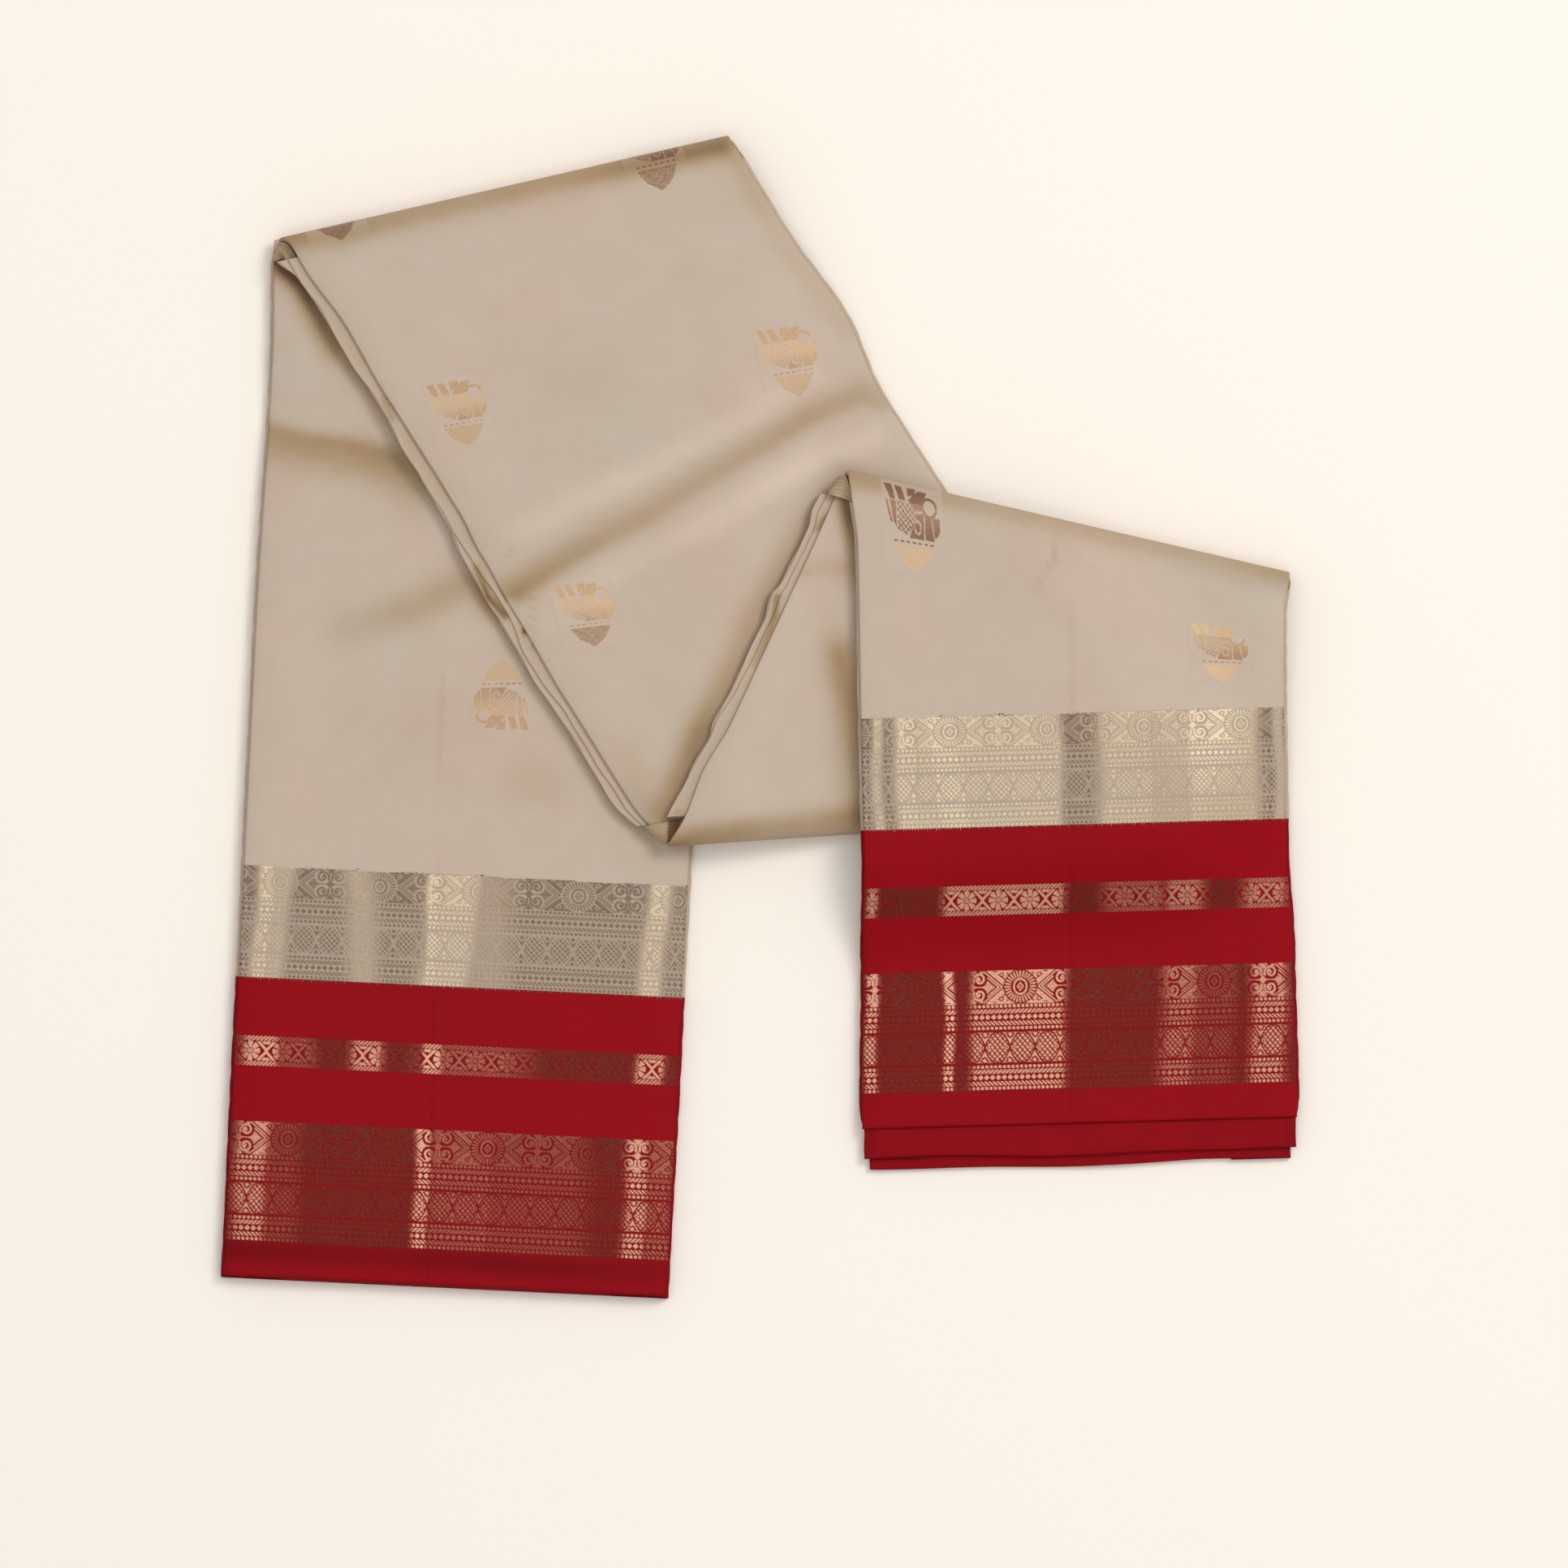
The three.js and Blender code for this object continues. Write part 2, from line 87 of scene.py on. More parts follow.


# The four stretches from the bottom of the pile up.
# sides: at is the share of the length, left and right how far that side comes in there.
# leftReach and rightReach: how far in from those sides the face ends.
# dents: soft troughs and creases from one point to another.
# shades are the face's painted shade and painted highlights, lipShades those of its plies,
# sideShades those of a fold's sides.
# sideRelief: how much the plies stand apart at the left side of a fold.
stretches = {
    "leftLeg": {
        "lines": ("leftHem", "topFold"), "hemAt": "from", "order": 0, "over": (), "before": None,
        "leftReach": 1.0, "rightReach": 1.0, "lip": "plain",
        "sides": {
            "at": (0.0, 0.6, 0.88, 1.0),
            "left": (0.0, 0.2, 1.8, 0.2),
            "right": (0.0, 1.0, 0.6, 1.6),
        },
        "dents": [
            {"start": (-206, 128), "end": (-150, 104), "width": 15, "depth": 1.8},
            {"start": (-188, 30), "end": (-118, 62), "width": 13, "depth": 1.0},
        ],
        "shades": [
            shadeAlong((3.4, 5.6), (-201, 191, 1), (-197, 187, 1.2), (-190, 180, 1.05),
                       (-184, 168, 0.8), (-177, 154, 0.5)),
            shadeAlong(5.5, (-181, 163, 0.4), (-171, 149, 0.48), (-162, 138, 0.42),
                       (-151, 119, 0.2)),
            shadeAlong((4.5, 13), (-204, 119, 0.5), (-188, 115, 0.52), (-167, 112, 0.56),
                       (-151, 108, 0.6), (-143, 101, 0.5)),
            shadeAlong((7, 8), (-174, 37, 0.14), (-147, 44, 0.3), (-122, 56, 0.36),
                       (-109, 47, 0.3)),
            shadeAlong(3.2, (-117, 55, 0.3), (-100, 26, 0.2), (-80, -4, 0.2), (-60, -36, 0.26),
                       (-44, -55, 0.3)),
            shadeAlong(11, (-95, -24, 0.1), (-91, -30, 0.1)),
            shadeAlong(5, (-226, -221, 0.36), (-160, -224, 0.22), (-110, -227, 0.36),
                       (-28, -232, 0.14)),
            shadeAlong(16, (-147, -2, 0.07), (-134, -9, 0.07)),
            shadeAlong(0.9, (-132, 18, 0.09), (-134, -60, 0.07), (-138, -238, 0.1)),
        ],
    },
    "diagonal": {
        "lines": ("topFold", "bottomFold"), "hemAt": None, "order": 1, "over": ("leftLeg",),
        "before": "leftLeg", "leftReach": 9.5, "rightReach": 1.0, "lip": "diagonal",
        "sides": {
            "at": (0.0, 0.06, 0.14, 0.26, 0.38, 0.45, 0.52, 0.61, 0.76, 0.93, 1.0),
            "left": (-3.4, -4.4, -2.9, -4.9, -5.4, -6.0, -8.2, -10.0, -12.2, -13.2, -10.2),
            "right": (1.8, 2.3, 2.6, -0.2, 4.9, 4.6, 4.2, 3.2, 1.8, 1.0, 1.0),
        },
        "dents": [
            {"start": (-100, 50), "end": (44, 131), "width": 12, "depth": 1.9},
        ],
        "sideRelief": 0.3,
        "shades": [
            shadeAlong(5.5, (-197, 197, 0.42), (-174, 200, 0.44), (-140, 208, 0.3),
                       (-80, 222, 0.34), (-46, 230, 0.6), (-17, 236, 0.66)),
            shadeAlong((8, 4.2), (-101, 51, 0.6), (-86, 61, 0.5), (-66, 73, 0.4), (-46, 83, 0.34),
                       (-26, 96, 0.32), (1, 112, 0.36), (21, 124, 0.38), (42, 133, 0.34),
                       (51, 130, 0.26)),
            shadeAlong(6, (-80, 49, -0.08), (-46, 67, -0.12), (-12, 86, -0.14), (21, 105, -0.2),
                       (48, 116, -0.16)),
            shadeAlong(7, (-97, 79, -0.1), (-60, 96, -0.12), (-12, 119, -0.12), (25, 138, -0.1)),
            shadeAlong(6.5, (33, 101, 0.2), (21, 82, 0.26), (8, 60, 0.3), (-2, 42, 0.34),
                       (-11, 21, 0.36), (-19, 5, 0.5), (-25, -7, 0.66), (-31, -21, 0.6),
                       (-37, -34, 0.55), (-41, -40, 0.5)),
            shadeAlong(8, (-55, -16, 0.1), (-49, -34, 0.16)),
            shadeAlong(6, (-11, 237, 0.3), (-1, 215, 0.24), (10, 197, 0.14), (25, 176, 0.12),
                       (37, 161, 0.16)),
            shadeAlong(17, (-80, 143, 0.06), (-73, 136, 0.06)),
            shadeAlong(17, (-36, 62, 0.06), (-29, 55, 0.06)),
            shadeAlong(0.9, (-103, 71, 0.25), (-105, 65, 0.05)),
            shadeAlong(0.9, (-94, 50, 0.2), (-95, 38, 0.15), (-93, 31, 0.1)),
            shadeAlong(2.6, (-36, -43, 1), (-37, -51, 1)),
        ],
        "lipShades": [
            shadeAlong(2.2, (-199, 195, 0.5), (-194, 193, 0.4)),
            shadeAlong(1.7, (-118, 62, 0.45), (-113, 50, 0.8), (-106, 42, 0.75)),
            shadeAlong(1.1, (-98, 36, 0.9), (-98, 35, 0.9)),
            shadeAlong(1.1, (-94, 30, 0.9), (-94, 29, 0.9)),
            shadeAlong(1.8, (-156, 132, 0.3), (-153, 124, 0.3)),
            shadeAlong(1.2, (-108, 57, 0.6), (-105, 49, 0.7)),
        ],
    },
    "third": {
        "lines": ("bottomFold", "secondFold"), "hemAt": None, "order": 2,
        "over": ("leftLeg", "diagonal"), "before": "diagonal",
        "leftReach": 7.5, "rightReach": 1.0, "lip": "third",
        "sides": {
            "at": (0.0, 0.08, 0.2, 0.33, 0.8, 1.0),
            "left": (-7.7, -6.5, -8.0, -5.6, -5.9, -6.6),
            "right": (1.0, 1.1, 1.3, 1.5, 0.9, 0.6),
        },
        "dents": [
            {"start": (8, -28), "end": (60, -18), "width": 14, "depth": 0.9},
        ],
        "shades": [
            shadeAlong(3.8, (33, 99, 0.7), (35, 92, 0.85), (37, 82, 0.8), (39, 70, 0.5),
                       (40, 55, 0.2)),
            shadeAlong(7, (29, 38, 0.06), (33, 26, 0.56), (36, 11, 0.62), (38, -6, 0.5),
                       (39, -22, 0.34), (40, -39, 0.4)),
            shadeAlong(5.5, (-35, -53, 0.45), (-26, -49, 0.42), (-2, -46, 0.38), (21, -43, 0.34),
                       (42, -41, 0.55)),
            shadeAlong(5, (18, 61, 0.12), (31, 62, 0.2), (39, 61, 0.26)),
            shadeAlong(0.9, (16, 60, 0.2), (20, 59, 0.2)),
        ],
        "sideRelief": 0.25,
        "sideShades": [
            shadeAlong((3.5, 1.2), (-36.3, -42.7, 1), (-37.6, -52.8, 1)),
        ],
        "lipShades": [
            shadeAlong(1.6, (7, 50, 0.62), (6, 42, 0.6), (2, 31, 0.4), (-2, 22, 0.3)),
            shadeAlong(1.4, (27, 83, 0.6), (24, 78, 0.5)),
            shadeAlong(1, (33, 99, 0.6), (34, 98, 0.6)),
            shadeAlong(1.5, (-35, -40, 0.3), (-32, -41, 0.4)),
        ],
    },
    "rightLeg": {
        "lines": ("secondFold", "rightHem"), "hemAt": "to", "order": 3,
        "over": ("leftLeg", "diagonal", "third"), "before": "third",
        "leftReach": 1.0, "rightReach": 1.0, "lip": "plain",
        "sides": {
            "at": (0.0, 0.1, 0.3, 0.55, 0.72, 1.0),
            "left": (0.8, 3.7, 3.4, 3.4, 2.2, 0.2),
            "right": (1.2, 3.6, 4.0, 3.6, 1.6, 0.4),
        },
        "dents": [
            {"start": (120, 76), "end": (112, 54), "width": 10, "depth": 0.8},
        ],
        "sideRelief": 0.3,
        "shades": [
            shadeAlong(5, (39, 98, 0.38), (55, 95, 0.24), (122, 79, 0.16), (190, 63, 0.2),
                       (220, 57, 0.36)),
            shadeAlong(0.8, (123, 75, 0.22), (122, 65, 0.22), (114, 54, 0.1)),
            shadeAlong(0.8, (130, 54, 0.09), (129, -166, 0.1)),
            shadeAlong(16, (106, 62, 0.05), (112, 55, 0.05)),
        ],
    },
}

# How far the plies reach out past the face's edge, by the share of a stretch's length: the one
# just under the face, and those below it
lips = {
    "plain": {"at": (0.0, 1.0), "top": (0.6, 0.6), "under": (0.9, 0.9)},
    "diagonal": {
        "at": (0.0, 0.027, 0.066, 0.17, 0.26, 0.35, 0.45, 0.54, 0.6, 0.69, 0.8, 0.93, 1.0),
        "top": (1.5, 4.0, 4.4, 6.4, 4.7, 6.3, 6.6, 4.4, 3.0, 5.4, 3.6, 3.6, 2.0),
        "under": (5.5, 9.2, 4.6, 6.2, 4.6, 6.2, 7.0, 8.0, 7.6, 7.8, 6.8, 7.0, 3.0),
    },
    "third": {
        "at": (0.0, 0.068, 0.08, 0.18, 0.28, 0.33, 0.42, 0.6, 0.665, 0.69, 0.84, 0.89, 1.0),
        "top": (-0.6, -0.6, 7.6, 5.3, 5.0, 6.2, 3.4, 3.2, 3.8, 2.6, 2.4, 4.0, 2.0),
        "under": (-0.6, -0.6, 7.0, 5.0, 5.2, 7.2, 6.0, 5.6, 7.3, 5.8, 4.7, 6.5, 3.4),
    },
}


def mixed(a, b, share):
    return a + (b - a) * share


def smooth(share):
    share = np.clip(share, 0.0, 1.0)
    return share * share * (3 - 2 * share)


# One column of a table at some share of the length, eased from row to row
def fromTable(table, at, column):
    places, values = np.array(table["at"]), np.array(table[column])
    after = np.clip(np.searchsorted(places, at), 1, len(places) - 1)
    share = smooth((at - places[after - 1]) / (places[after] - places[after - 1]))
    return mixed(values[after - 1], values[after], share)


def cross(a, b):
    return a[..., 0] * b[..., 1] - a[..., 1] * b[..., 0]


# What follows from the fold lines: the corners, the length down the middle, and how square each
# fold is to it
for name, stretch in stretches.items():
    (a, b), (c, d) = [[np.array(end) for end in turnLines[line]] for line in stretch["lines"]]
    stretch["name"] = name
    stretch["ends"] = {"left": (a, c), "right": (b, d)}
    stretch["corners"] = (a, b, d, c)
    middle = (c + d) / 2 - (a + b) / 2
    stretch["length"] = np.linalg.norm(middle)
    middle = middle / stretch["length"]
    stretch["slants"] = [
        abs(cross(middle, (right - left) / np.linalg.norm(right - left)))
        for left, right in ((a, b), (c, d))
    ]


# The bands run square to the hem, so near it both edges count the same
def edgeDistance(stretch, side, along):
    start, end = stretch["ends"][side]
    edge, length, deep = np.linalg.norm(end - start), stretch["length"], bands["cream"]
    if stretch["hemAt"] is None:
        return along * edge / length
    distance = along if stretch["hemAt"] == "from" else length - along
    past = np.maximum(0, distance - deep)
    distance = np.minimum(distance, deep) + past * (edge - deep) / (length - deep)
    return distance if stretch["hemAt"] == "from" else edge - distance


# Both side edges at some distance along, and the direction from one to the other
def edgesAt(stretch, along):
    ends = {}
    for side in ("left", "right"):
        start, end = stretch["ends"][side]
        share = edgeDistance(stretch, side, along) / np.linalg.norm(end - start)
        ends[side] = start + (end - start) * share[..., None]
    across = ends["right"] - ends["left"]
    across = across / np.linalg.norm(across, axis=-1, keepdims=True)
    at = along / stretch["length"]
    left = ends["left"] + across * fromTable(stretch["sides"], at, "left")[..., None]
    right = ends["right"] - across * fromTable(stretch["sides"], at, "right")[..., None]
    return left, right, across


# A place on a stretch. fixed is in millimetres from the left edge of its face, share is of the
# face's width.
def placeOn(stretch, along, fixed, share, leftReach=None):
    leftReach = stretch["leftReach"] if leftReach is None else leftReach
    left, right, across = edgesAt(stretch, along)
    width = np.linalg.norm(right - left, axis=-1) - leftReach - stretch["rightReach"]
    offset = fixed + share * width
    return left + across * (leftReach + offset)[..., None], offset, width


def distanceToLine(points, start, end):
    side = np.array(end, float) - np.array(start, float)
    reach = points - np.array(start, float)
    share = np.clip((reach @ side) / (side @ side), 0, 1)
    return np.linalg.norm(reach - share[..., None] * side, axis=-1)


# How far points lie outside a stretch, 0 on it
def distanceOutside(stretch, points):
    corners = stretch["corners"]
    sides = [(corners[i], corners[(i + 1) % 4]) for i in range(4)]
    turns = np.array([np.sign(cross(b - a, points - a)) for a, b in sides])
    inside = np.abs(turns.sum(axis=0)) == 4
    nearest = np.min([distanceToLine(points, a, b) for a, b in sides], axis=0)
    return np.where(inside, 0, nearest)


# How high the stretches below hold this one up
def liftAt(stretch, points):
    lift = np.zeros(points.shape[:-1])
    for below in stretch["over"]:
        more = packet["settleMore"] * (stretch["order"] - stretches[below]["order"] - 1)
        past = distanceOutside(stretches[below], points) - packet["settleStart"] - more
        lift += packetStep * (1 - smooth(past / (packet["settleRun"] + more)))
    return lift


# Slow waves that keep pressed silk from lying dead flat
def softWaves(points, order):
    x, y = points[..., 0] + 31 * order, points[..., 1] - 17 * order
    return (
        0.10 * np.sin(x / 11.3 + y / 37.0) * np.sin(y / 19.7 - x / 53.0)
        + 0.07 * np.sin(x / 6.1 - y / 8.9 + 1.7) * np.sin(x / 29.0 + y / 13.0)
    )


# How far the cloth sinks at its sides, in its waves and in its dents
def sinkAt(stretch, points, fromEdge):
    near = np.clip(1 - fromEdge / packet["edgeDropRun"], 0, 1)
    sink = packet["edgeDrop"] * near**2 + softWaves(points, stretch["order"])
    for dent in stretch["dents"]:
        distance = distanceToLine(points, dent["start"], dent["end"])
        sink = sink + dent["depth"] * np.exp(-((distance / dent["width"]) ** 2))
    return sink


# Painted shade along the shade paths, 0 away from them, painted highlight below 0
def paintedShadeAt(stretch, points, rows="shades"):
    light = np.ones(points.shape[:-1])
    for row in stretch.get(rows, ()):
        path, deepest = np.array(row["path"], float), np.zeros(points.shape[:-1])
        for (x, y, tone), (nextX, nextY, nextTone) in zip(path, path[1:]):
            side, reach = np.array((nextX - x, nextY - y)), points[..., :2] - (x, y)
            share = np.clip((reach @ side) / (side @ side), 0, 1)
            away = reach - share[..., None] * side
            width = np.where(cross(side, away) > 0, row["left"], row["right"])
            faded = np.exp(-((np.linalg.norm(away, axis=-1) / width) ** 2))
            here = mixed(tone, nextTone, share) * faded
            deepest = np.where(np.abs(here) > np.abs(deepest), here, deepest)
        light *= 1 - deepest
    return 1 - light


# Points of a wall or ply on a stretch, in millimetres, at some height over the cloth below
def clothPoints(stretch, along, fixed, share, height, sinkShare):
    points, offset, width = placeOn(stretch, along, fixed, share)
    sink = sinkAt(stretch, points, np.minimum(offset, width - offset)) * sinkShare
    z = liftAt(stretch, points) + height - sink
    return np.concatenate([points, z[..., None]], axis=-1), offset


# Points round the fold that a stretch starts from. angle runs from -90 degrees, under the stretch
# before, over 0 at the fold line to 90 on top. radius is 1 on the outside.
def foldPoints(stretch, angle, radius, fixed, share):
    before = stretches[stretch["before"]]
    run = packet["rounding"] * (1 - radius * np.cos(angle))
    turned = smooth((np.sin(angle) + 1) / 2)
    places, sinks = [], []
    for side, along in (
        (before, before["length"] - run / before["slants"][1]),
        (stretch, run / stretch["slants"][0]),
    ):
        leftReach = mixed(before["leftReach"], stretch["leftReach"], turned)
        points, offset, width = placeOn(side, along, fixed, share, leftReach)
        places.append(points)
        sinks.append(sinkAt(side, points, np.minimum(offset, width - offset)))
    points = mixed(places[0], places[1], turned[..., None])
    low, high = liftAt(before, points), liftAt(stretch, points)
    under = mixed(low, high, 1 - radius * np.clip(-np.sin(angle), 0, 1))
    rise = np.clip(np.sin(angle), 0, 1)
    over = high + (packet["thickness"] * radius - sinks[1]) * rise
    z = np.where(angle < 0, under, over)
    return np.concatenate([points, z[..., None]], axis=-1), offset


noHem = 400.0  # the distance from the hem on a stretch that has none


def fromHemAt(stretch, along):
    if stretch["hemAt"] == "from":
        return along
    if stretch["hemAt"] == "to":
        return stretch["length"] - along
    return np.full(np.shape(along), noHem)


def gridFaces(rows, columns, start=0, flip=False):
    row, column = np.meshgrid(np.arange(rows - 1), np.arange(columns - 1), indexing="ij")
    corner = row * columns + column
    faces = np.stack([corner, corner + 1, corner + 1 + columns, corner + columns], axis=-1)
    faces = faces.reshape(-1, 4) + start
    return faces[:, ::-1] if flip else faces


# One mesh of quads. facts are the values at its points that the materials read.
def makePiece(name, points, faces, facts, material, node=None, slot="cream_silk"):
    mesh = bpy.data.meshes.new(name)
    points = (np.asarray(points, float).reshape(-1, 3) * mm).astype(np.float32)
    faces = np.asarray(faces, np.int32)
    mesh.vertices.add(len(points))
    mesh.vertices.foreach_set("co", points.ravel())
    mesh.loops.add(faces.size)
    mesh.loops.foreach_set("vertex_index", faces.ravel())
    mesh.polygons.add(len(faces))
    mesh.polygons.foreach_set("loop_start", np.arange(0, faces.size, 4, dtype=np.int32))
    mesh.polygons.foreach_set("use_smooth", np.ones(len(faces), bool))
    mesh.update(calc_edges=True)
    mesh.validate()
    for fact, values in facts.items():
        values = np.asarray(values, np.float32)
        isPlace = fact == "cloth"
        layer = mesh.attributes.new(fact, "FLOAT_VECTOR" if isPlace else "FLOAT", "POINT")
        layer.data.foreach_set("vector" if isPlace else "value", values.ravel())
    mesh.materials.append(material)
    piece = bpy.data.objects.new(name, mesh)
    bpy.context.scene.collection.objects.link(piece)
    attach(piece, "root")
    if node:
        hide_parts(*([node] if isinstance(node, str) else node))
    return piece


# The loom's figures. Each is a signed distance in millimetres, above zero where gold thread shows.
figureReach = 0.6  # how far from a figure's edge that distance still counts


def disc(u, v, radius):
    return radius - np.hypot(u, v)


def ring(u, v, radius, width):
    return width / 2 - np.abs(np.hypot(u, v) - radius)


def stroke(u, v, start, end, width):
    du, dv = end[0] - start[0], end[1] - start[1]
    share = np.clip(((u - start[0]) * du + (v - start[1]) * dv) / (du * du + dv * dv), 0, 1)
    return width / 2 - np.hypot(u - start[0] - share * du, v - start[1] - share * dv)


def diamond(u, v, wide, high):
    return (1 - np.abs(u) / wide - np.abs(v) / high) * wide * high / math.hypot(wide, high)


def box(u, v, wide, high):
    return np.minimum(wide - np.abs(u), high - np.abs(v))


def repeated(u, pitch):
    return (u + pitch / 2) % pitch - pitch / 2


def joined(*shapes):
    return np.maximum.reduce(np.broadcast_arrays(*shapes))


def within(*shapes):
    return np.minimum.reduce(np.broadcast_arrays(*shapes))


# A scroll that winds inward clockwise from an angle, with a round end
def scroll(u, v, start, outer, inner, turns, width):
    radius = np.hypot(u, v)
    swept = (start - np.arctan2(v, u)) % (2 * math.pi)
    line = np.full(np.shape(radius), -9.0)
    for turn in range(math.ceil(turns)):
        angle = swept + 2 * math.pi * turn
        course = mixed(outer, inner, np.minimum(angle / (2 * math.pi * turns), 1))
        beside = width / 2 - np.abs(radius - course)
        line = joined(line, np.where(angle <= 2 * math.pi * turns, beside, -9))
    return joined(line, disc(u, v, inner * 0.72))


wideBand = {
    "medallionPitch": 40.3,
    "medallionRow": 14.0,
    "spokes": 28,
    "ovalPitch": 10.4,
    "ovalMiddle": 32.1,
    "netPitch": 2.1,
    "roundness": 1.55,  # of the ovals: 1 is a rhombus, 2 an ellipse
    # straight rows between the big figures: middle, height, pitch and lean
    "rows": [
        {"kind": "squares", "at": 15.0, "high": 1.2, "pitch": 1.8},
        {"kind": "rope", "at": 17.1, "high": 1.8, "pitch": 1.7, "lean": 1},
        {"kind": "dots", "at": 19.5, "high": 2.2, "pitch": 2.45},
        {"kind": "rope", "at": 22.0, "high": 1.8, "pitch": 1.7, "lean": -1},
        {"kind": "squares", "at": 24.1, "high": 1.2, "pitch": 1.8},
        {"kind": "squares", "at": 40.1, "high": 1.2, "pitch": 1.8},
        {"kind": "rope", "at": 42.1, "high": 1.8, "pitch": 1.7, "lean": 1},
        {"kind": "dots", "at": 44.5, "high": 2.2, "pitch": 2.45},
        {"kind": "rope", "at": 47.0, "high": 1.8, "pitch": 1.7, "lean": -1},
        {"kind": "squares", "at": 49.0, "high": 1.2, "pitch": 1.8},
    ],
}


def medallion(u, v):
    radius, angle = np.hypot(u, v), np.arctan2(v, u)
    spoke = 2 * math.pi / wideBand["spokes"]
    spokes = radius * (0.27 * spoke - np.abs(repeated(angle, spoke)))
    spokes = within(spokes, radius - 3.9, 6.6 - radius)
    eye = joined(within(diamond(u, v, 1.6, 2.1), -diamond(u, v, 0.85, 1.3)), disc(u, v, 0.36))
    return joined(spokes, ring(u, v * 0.86, 2.65, 0.75), eye)


# The rhombus between two medallions: double sides, four scrolls and a leaf to each side corner
def rhombus(u, v):
    u, v = np.abs(u), np.abs(v)
    outer = stroke(u, v, (12.6, 0), (4.9, 6.5), 0.6)
    inner = stroke(u, v, (11.1, 0), (6.6, 3.8), 0.6)
    curl = scroll(u - 3.2, v - 3.2, math.radians(215), 2.6, 0.8, 1.35, 0.9)
    middle = joined(diamond(u, v, 0.8, 0.8), stroke(u, v, (0.0, 6.2), (0.9, 5.2), 0.6))
    barbs = 0.34 - np.abs(repeated(u + v * 0.9, 1.2)) * 0.74
    leaf = within(barbs, (9.7 - u) * 0.6 - v * 0.72, np.hypot(u - 3.2, v - 3.2) - 3.15)
    rib = within(0.22 - v, 9.0 - u, u - 1.4)
    leaf = joined(leaf, rib, within(barbs, 6.6 - v, v - 5.3, 4.6 - u, u - 3.0))
    field = ((u - 12.6) * 6.5 + v * 7.7) / 10.1 - 0.85  # beyond the double side
    holes = joined(ring(u - 12.4, v - 5.0, 0.8, 0.45), stroke(u, v, (8.8, 6.3), (10.4, 6.3), 0.4))
    holes = joined(holes, stroke(u, v, (14.6, 2.4), (11.0, 5.2), 0.5), disc(u - 14.8, v - 5.6, 0.4))
    return joined(outer, inner, curl, middle, leaf, within(field, -holes))


def medallionRow(u, v):
    pitch = wideBand["medallionPitch"]
    middle = wideBand["medallionRow"] / 2
    near, between = repeated(u, pitch), repeated(u - pitch / 2, pitch)
    clear = np.hypot(near, v - middle) - 7.1  # a rhombus stays out of the medallions
    figure = joined(medallion(near, v - middle), within(rhombus(between, v - middle), clear))
    return within(figure, v - 0.15, wideBand["medallionRow"] - v)


def straightRow(u, v, row):
    v = v - row["at"]
    half = row["high"] / 2
    if row["kind"] == "squares":
        return box(repeated(u, row["pitch"]), v, row["pitch"] * 0.33, half)
    if row["kind"] == "dots":
        across = np.abs(repeated(u, row["pitch"]))
        return half * 0.92 - (across**1.5 + np.abs(v) ** 1.5) ** (1 / 1.5)
    leaned = repeated(u + row["lean"] * v * 1.1, row["pitch"])
    return within(row["pitch"] * 0.3 - np.abs(leaned), half - np.abs(v))


def ovalRow(u, v):
    pitch = wideBand["ovalPitch"]
    u, v = np.abs(repeated(u, pitch)), np.abs(v - wideBand["ovalMiddle"])
    power = wideBand["roundness"]
    size = ((u / 5.2) ** power + (v / 6.9) ** power) ** (1 / power)
    inside = (0.92 - size) * 5
    net = wideBand["netPitch"]
    rising, falling = repeated(u + v * 0.85, net), repeated(u - v * 0.85, net)
    knots = within(net * 0.35 - np.abs(rising), net * 0.35 - np.abs(falling), inside)
    eyelet = np.hypot(u - 3.9, v)
    knots = joined(within(knots, eyelet - 1.1), 0.24 - np.abs(eyelet - 0.62))
    corner = pitch / 2 - u
    holes = joined(ring(corner, v - 5.3, 1.15, 0.5), ring(corner - 2.2, v - 5.9, 0.6, 0.34))
    holes = joined(holes, 0.18 - np.abs(size - 1.24) * 5, stroke(u, v, (1.2, 6.4), (2.6, 5.4), 0.3))
    field = within((size - 1.04) * 5.2, 6.4 - v, -holes)
    return joined(knots, field)


def wideFigures(u, v):
    rows = [straightRow(u, v, row) for row in wideBand["rows"]]
    return joined(medallionRow(u, v), ovalRow(u, v), *rows)


narrowBand = {"high": 13.0, "rosettePitch": 13.1, "ropePitch": 1.6}


def narrowFigures(u, v):
    middle = v - narrowBand["high"] / 2
    across = repeated(u, narrowBand["rosettePitch"])
    radius, angle = np.hypot(across, middle), np.arctan2(middle, across)
    petals = within(radius * (0.3 - np.abs(repeated(angle, math.pi / 4))), radius - 1.3, 4.0 - radius)
    rosette = joined(petals, within(disc(across, middle, 0.9), -disc(across, middle, 0.3)))
    between = np.abs(repeated(u - narrowBand["rosettePitch"] / 2, narrowBand["rosettePitch"]))
    high = np.abs(middle)
    arms = stroke(between, high, (0.0, 0.3), (3.7, 4.3), 1.05)
    tip = within((high - 2.0 - between * 0.9) / 1.3, 3.9 - high, high - 3.1 + between * 1.1)
    chevrons = within(joined(arms, tip), 3.9 - high)
    rope = repeated(u + v * 1.1, narrowBand["ropePitch"])
    ropes = within(0.44 - np.abs(rope), 1.05 - np.abs(np.abs(middle) - 5.3))
    return joined(rosette, chevrons, ropes)


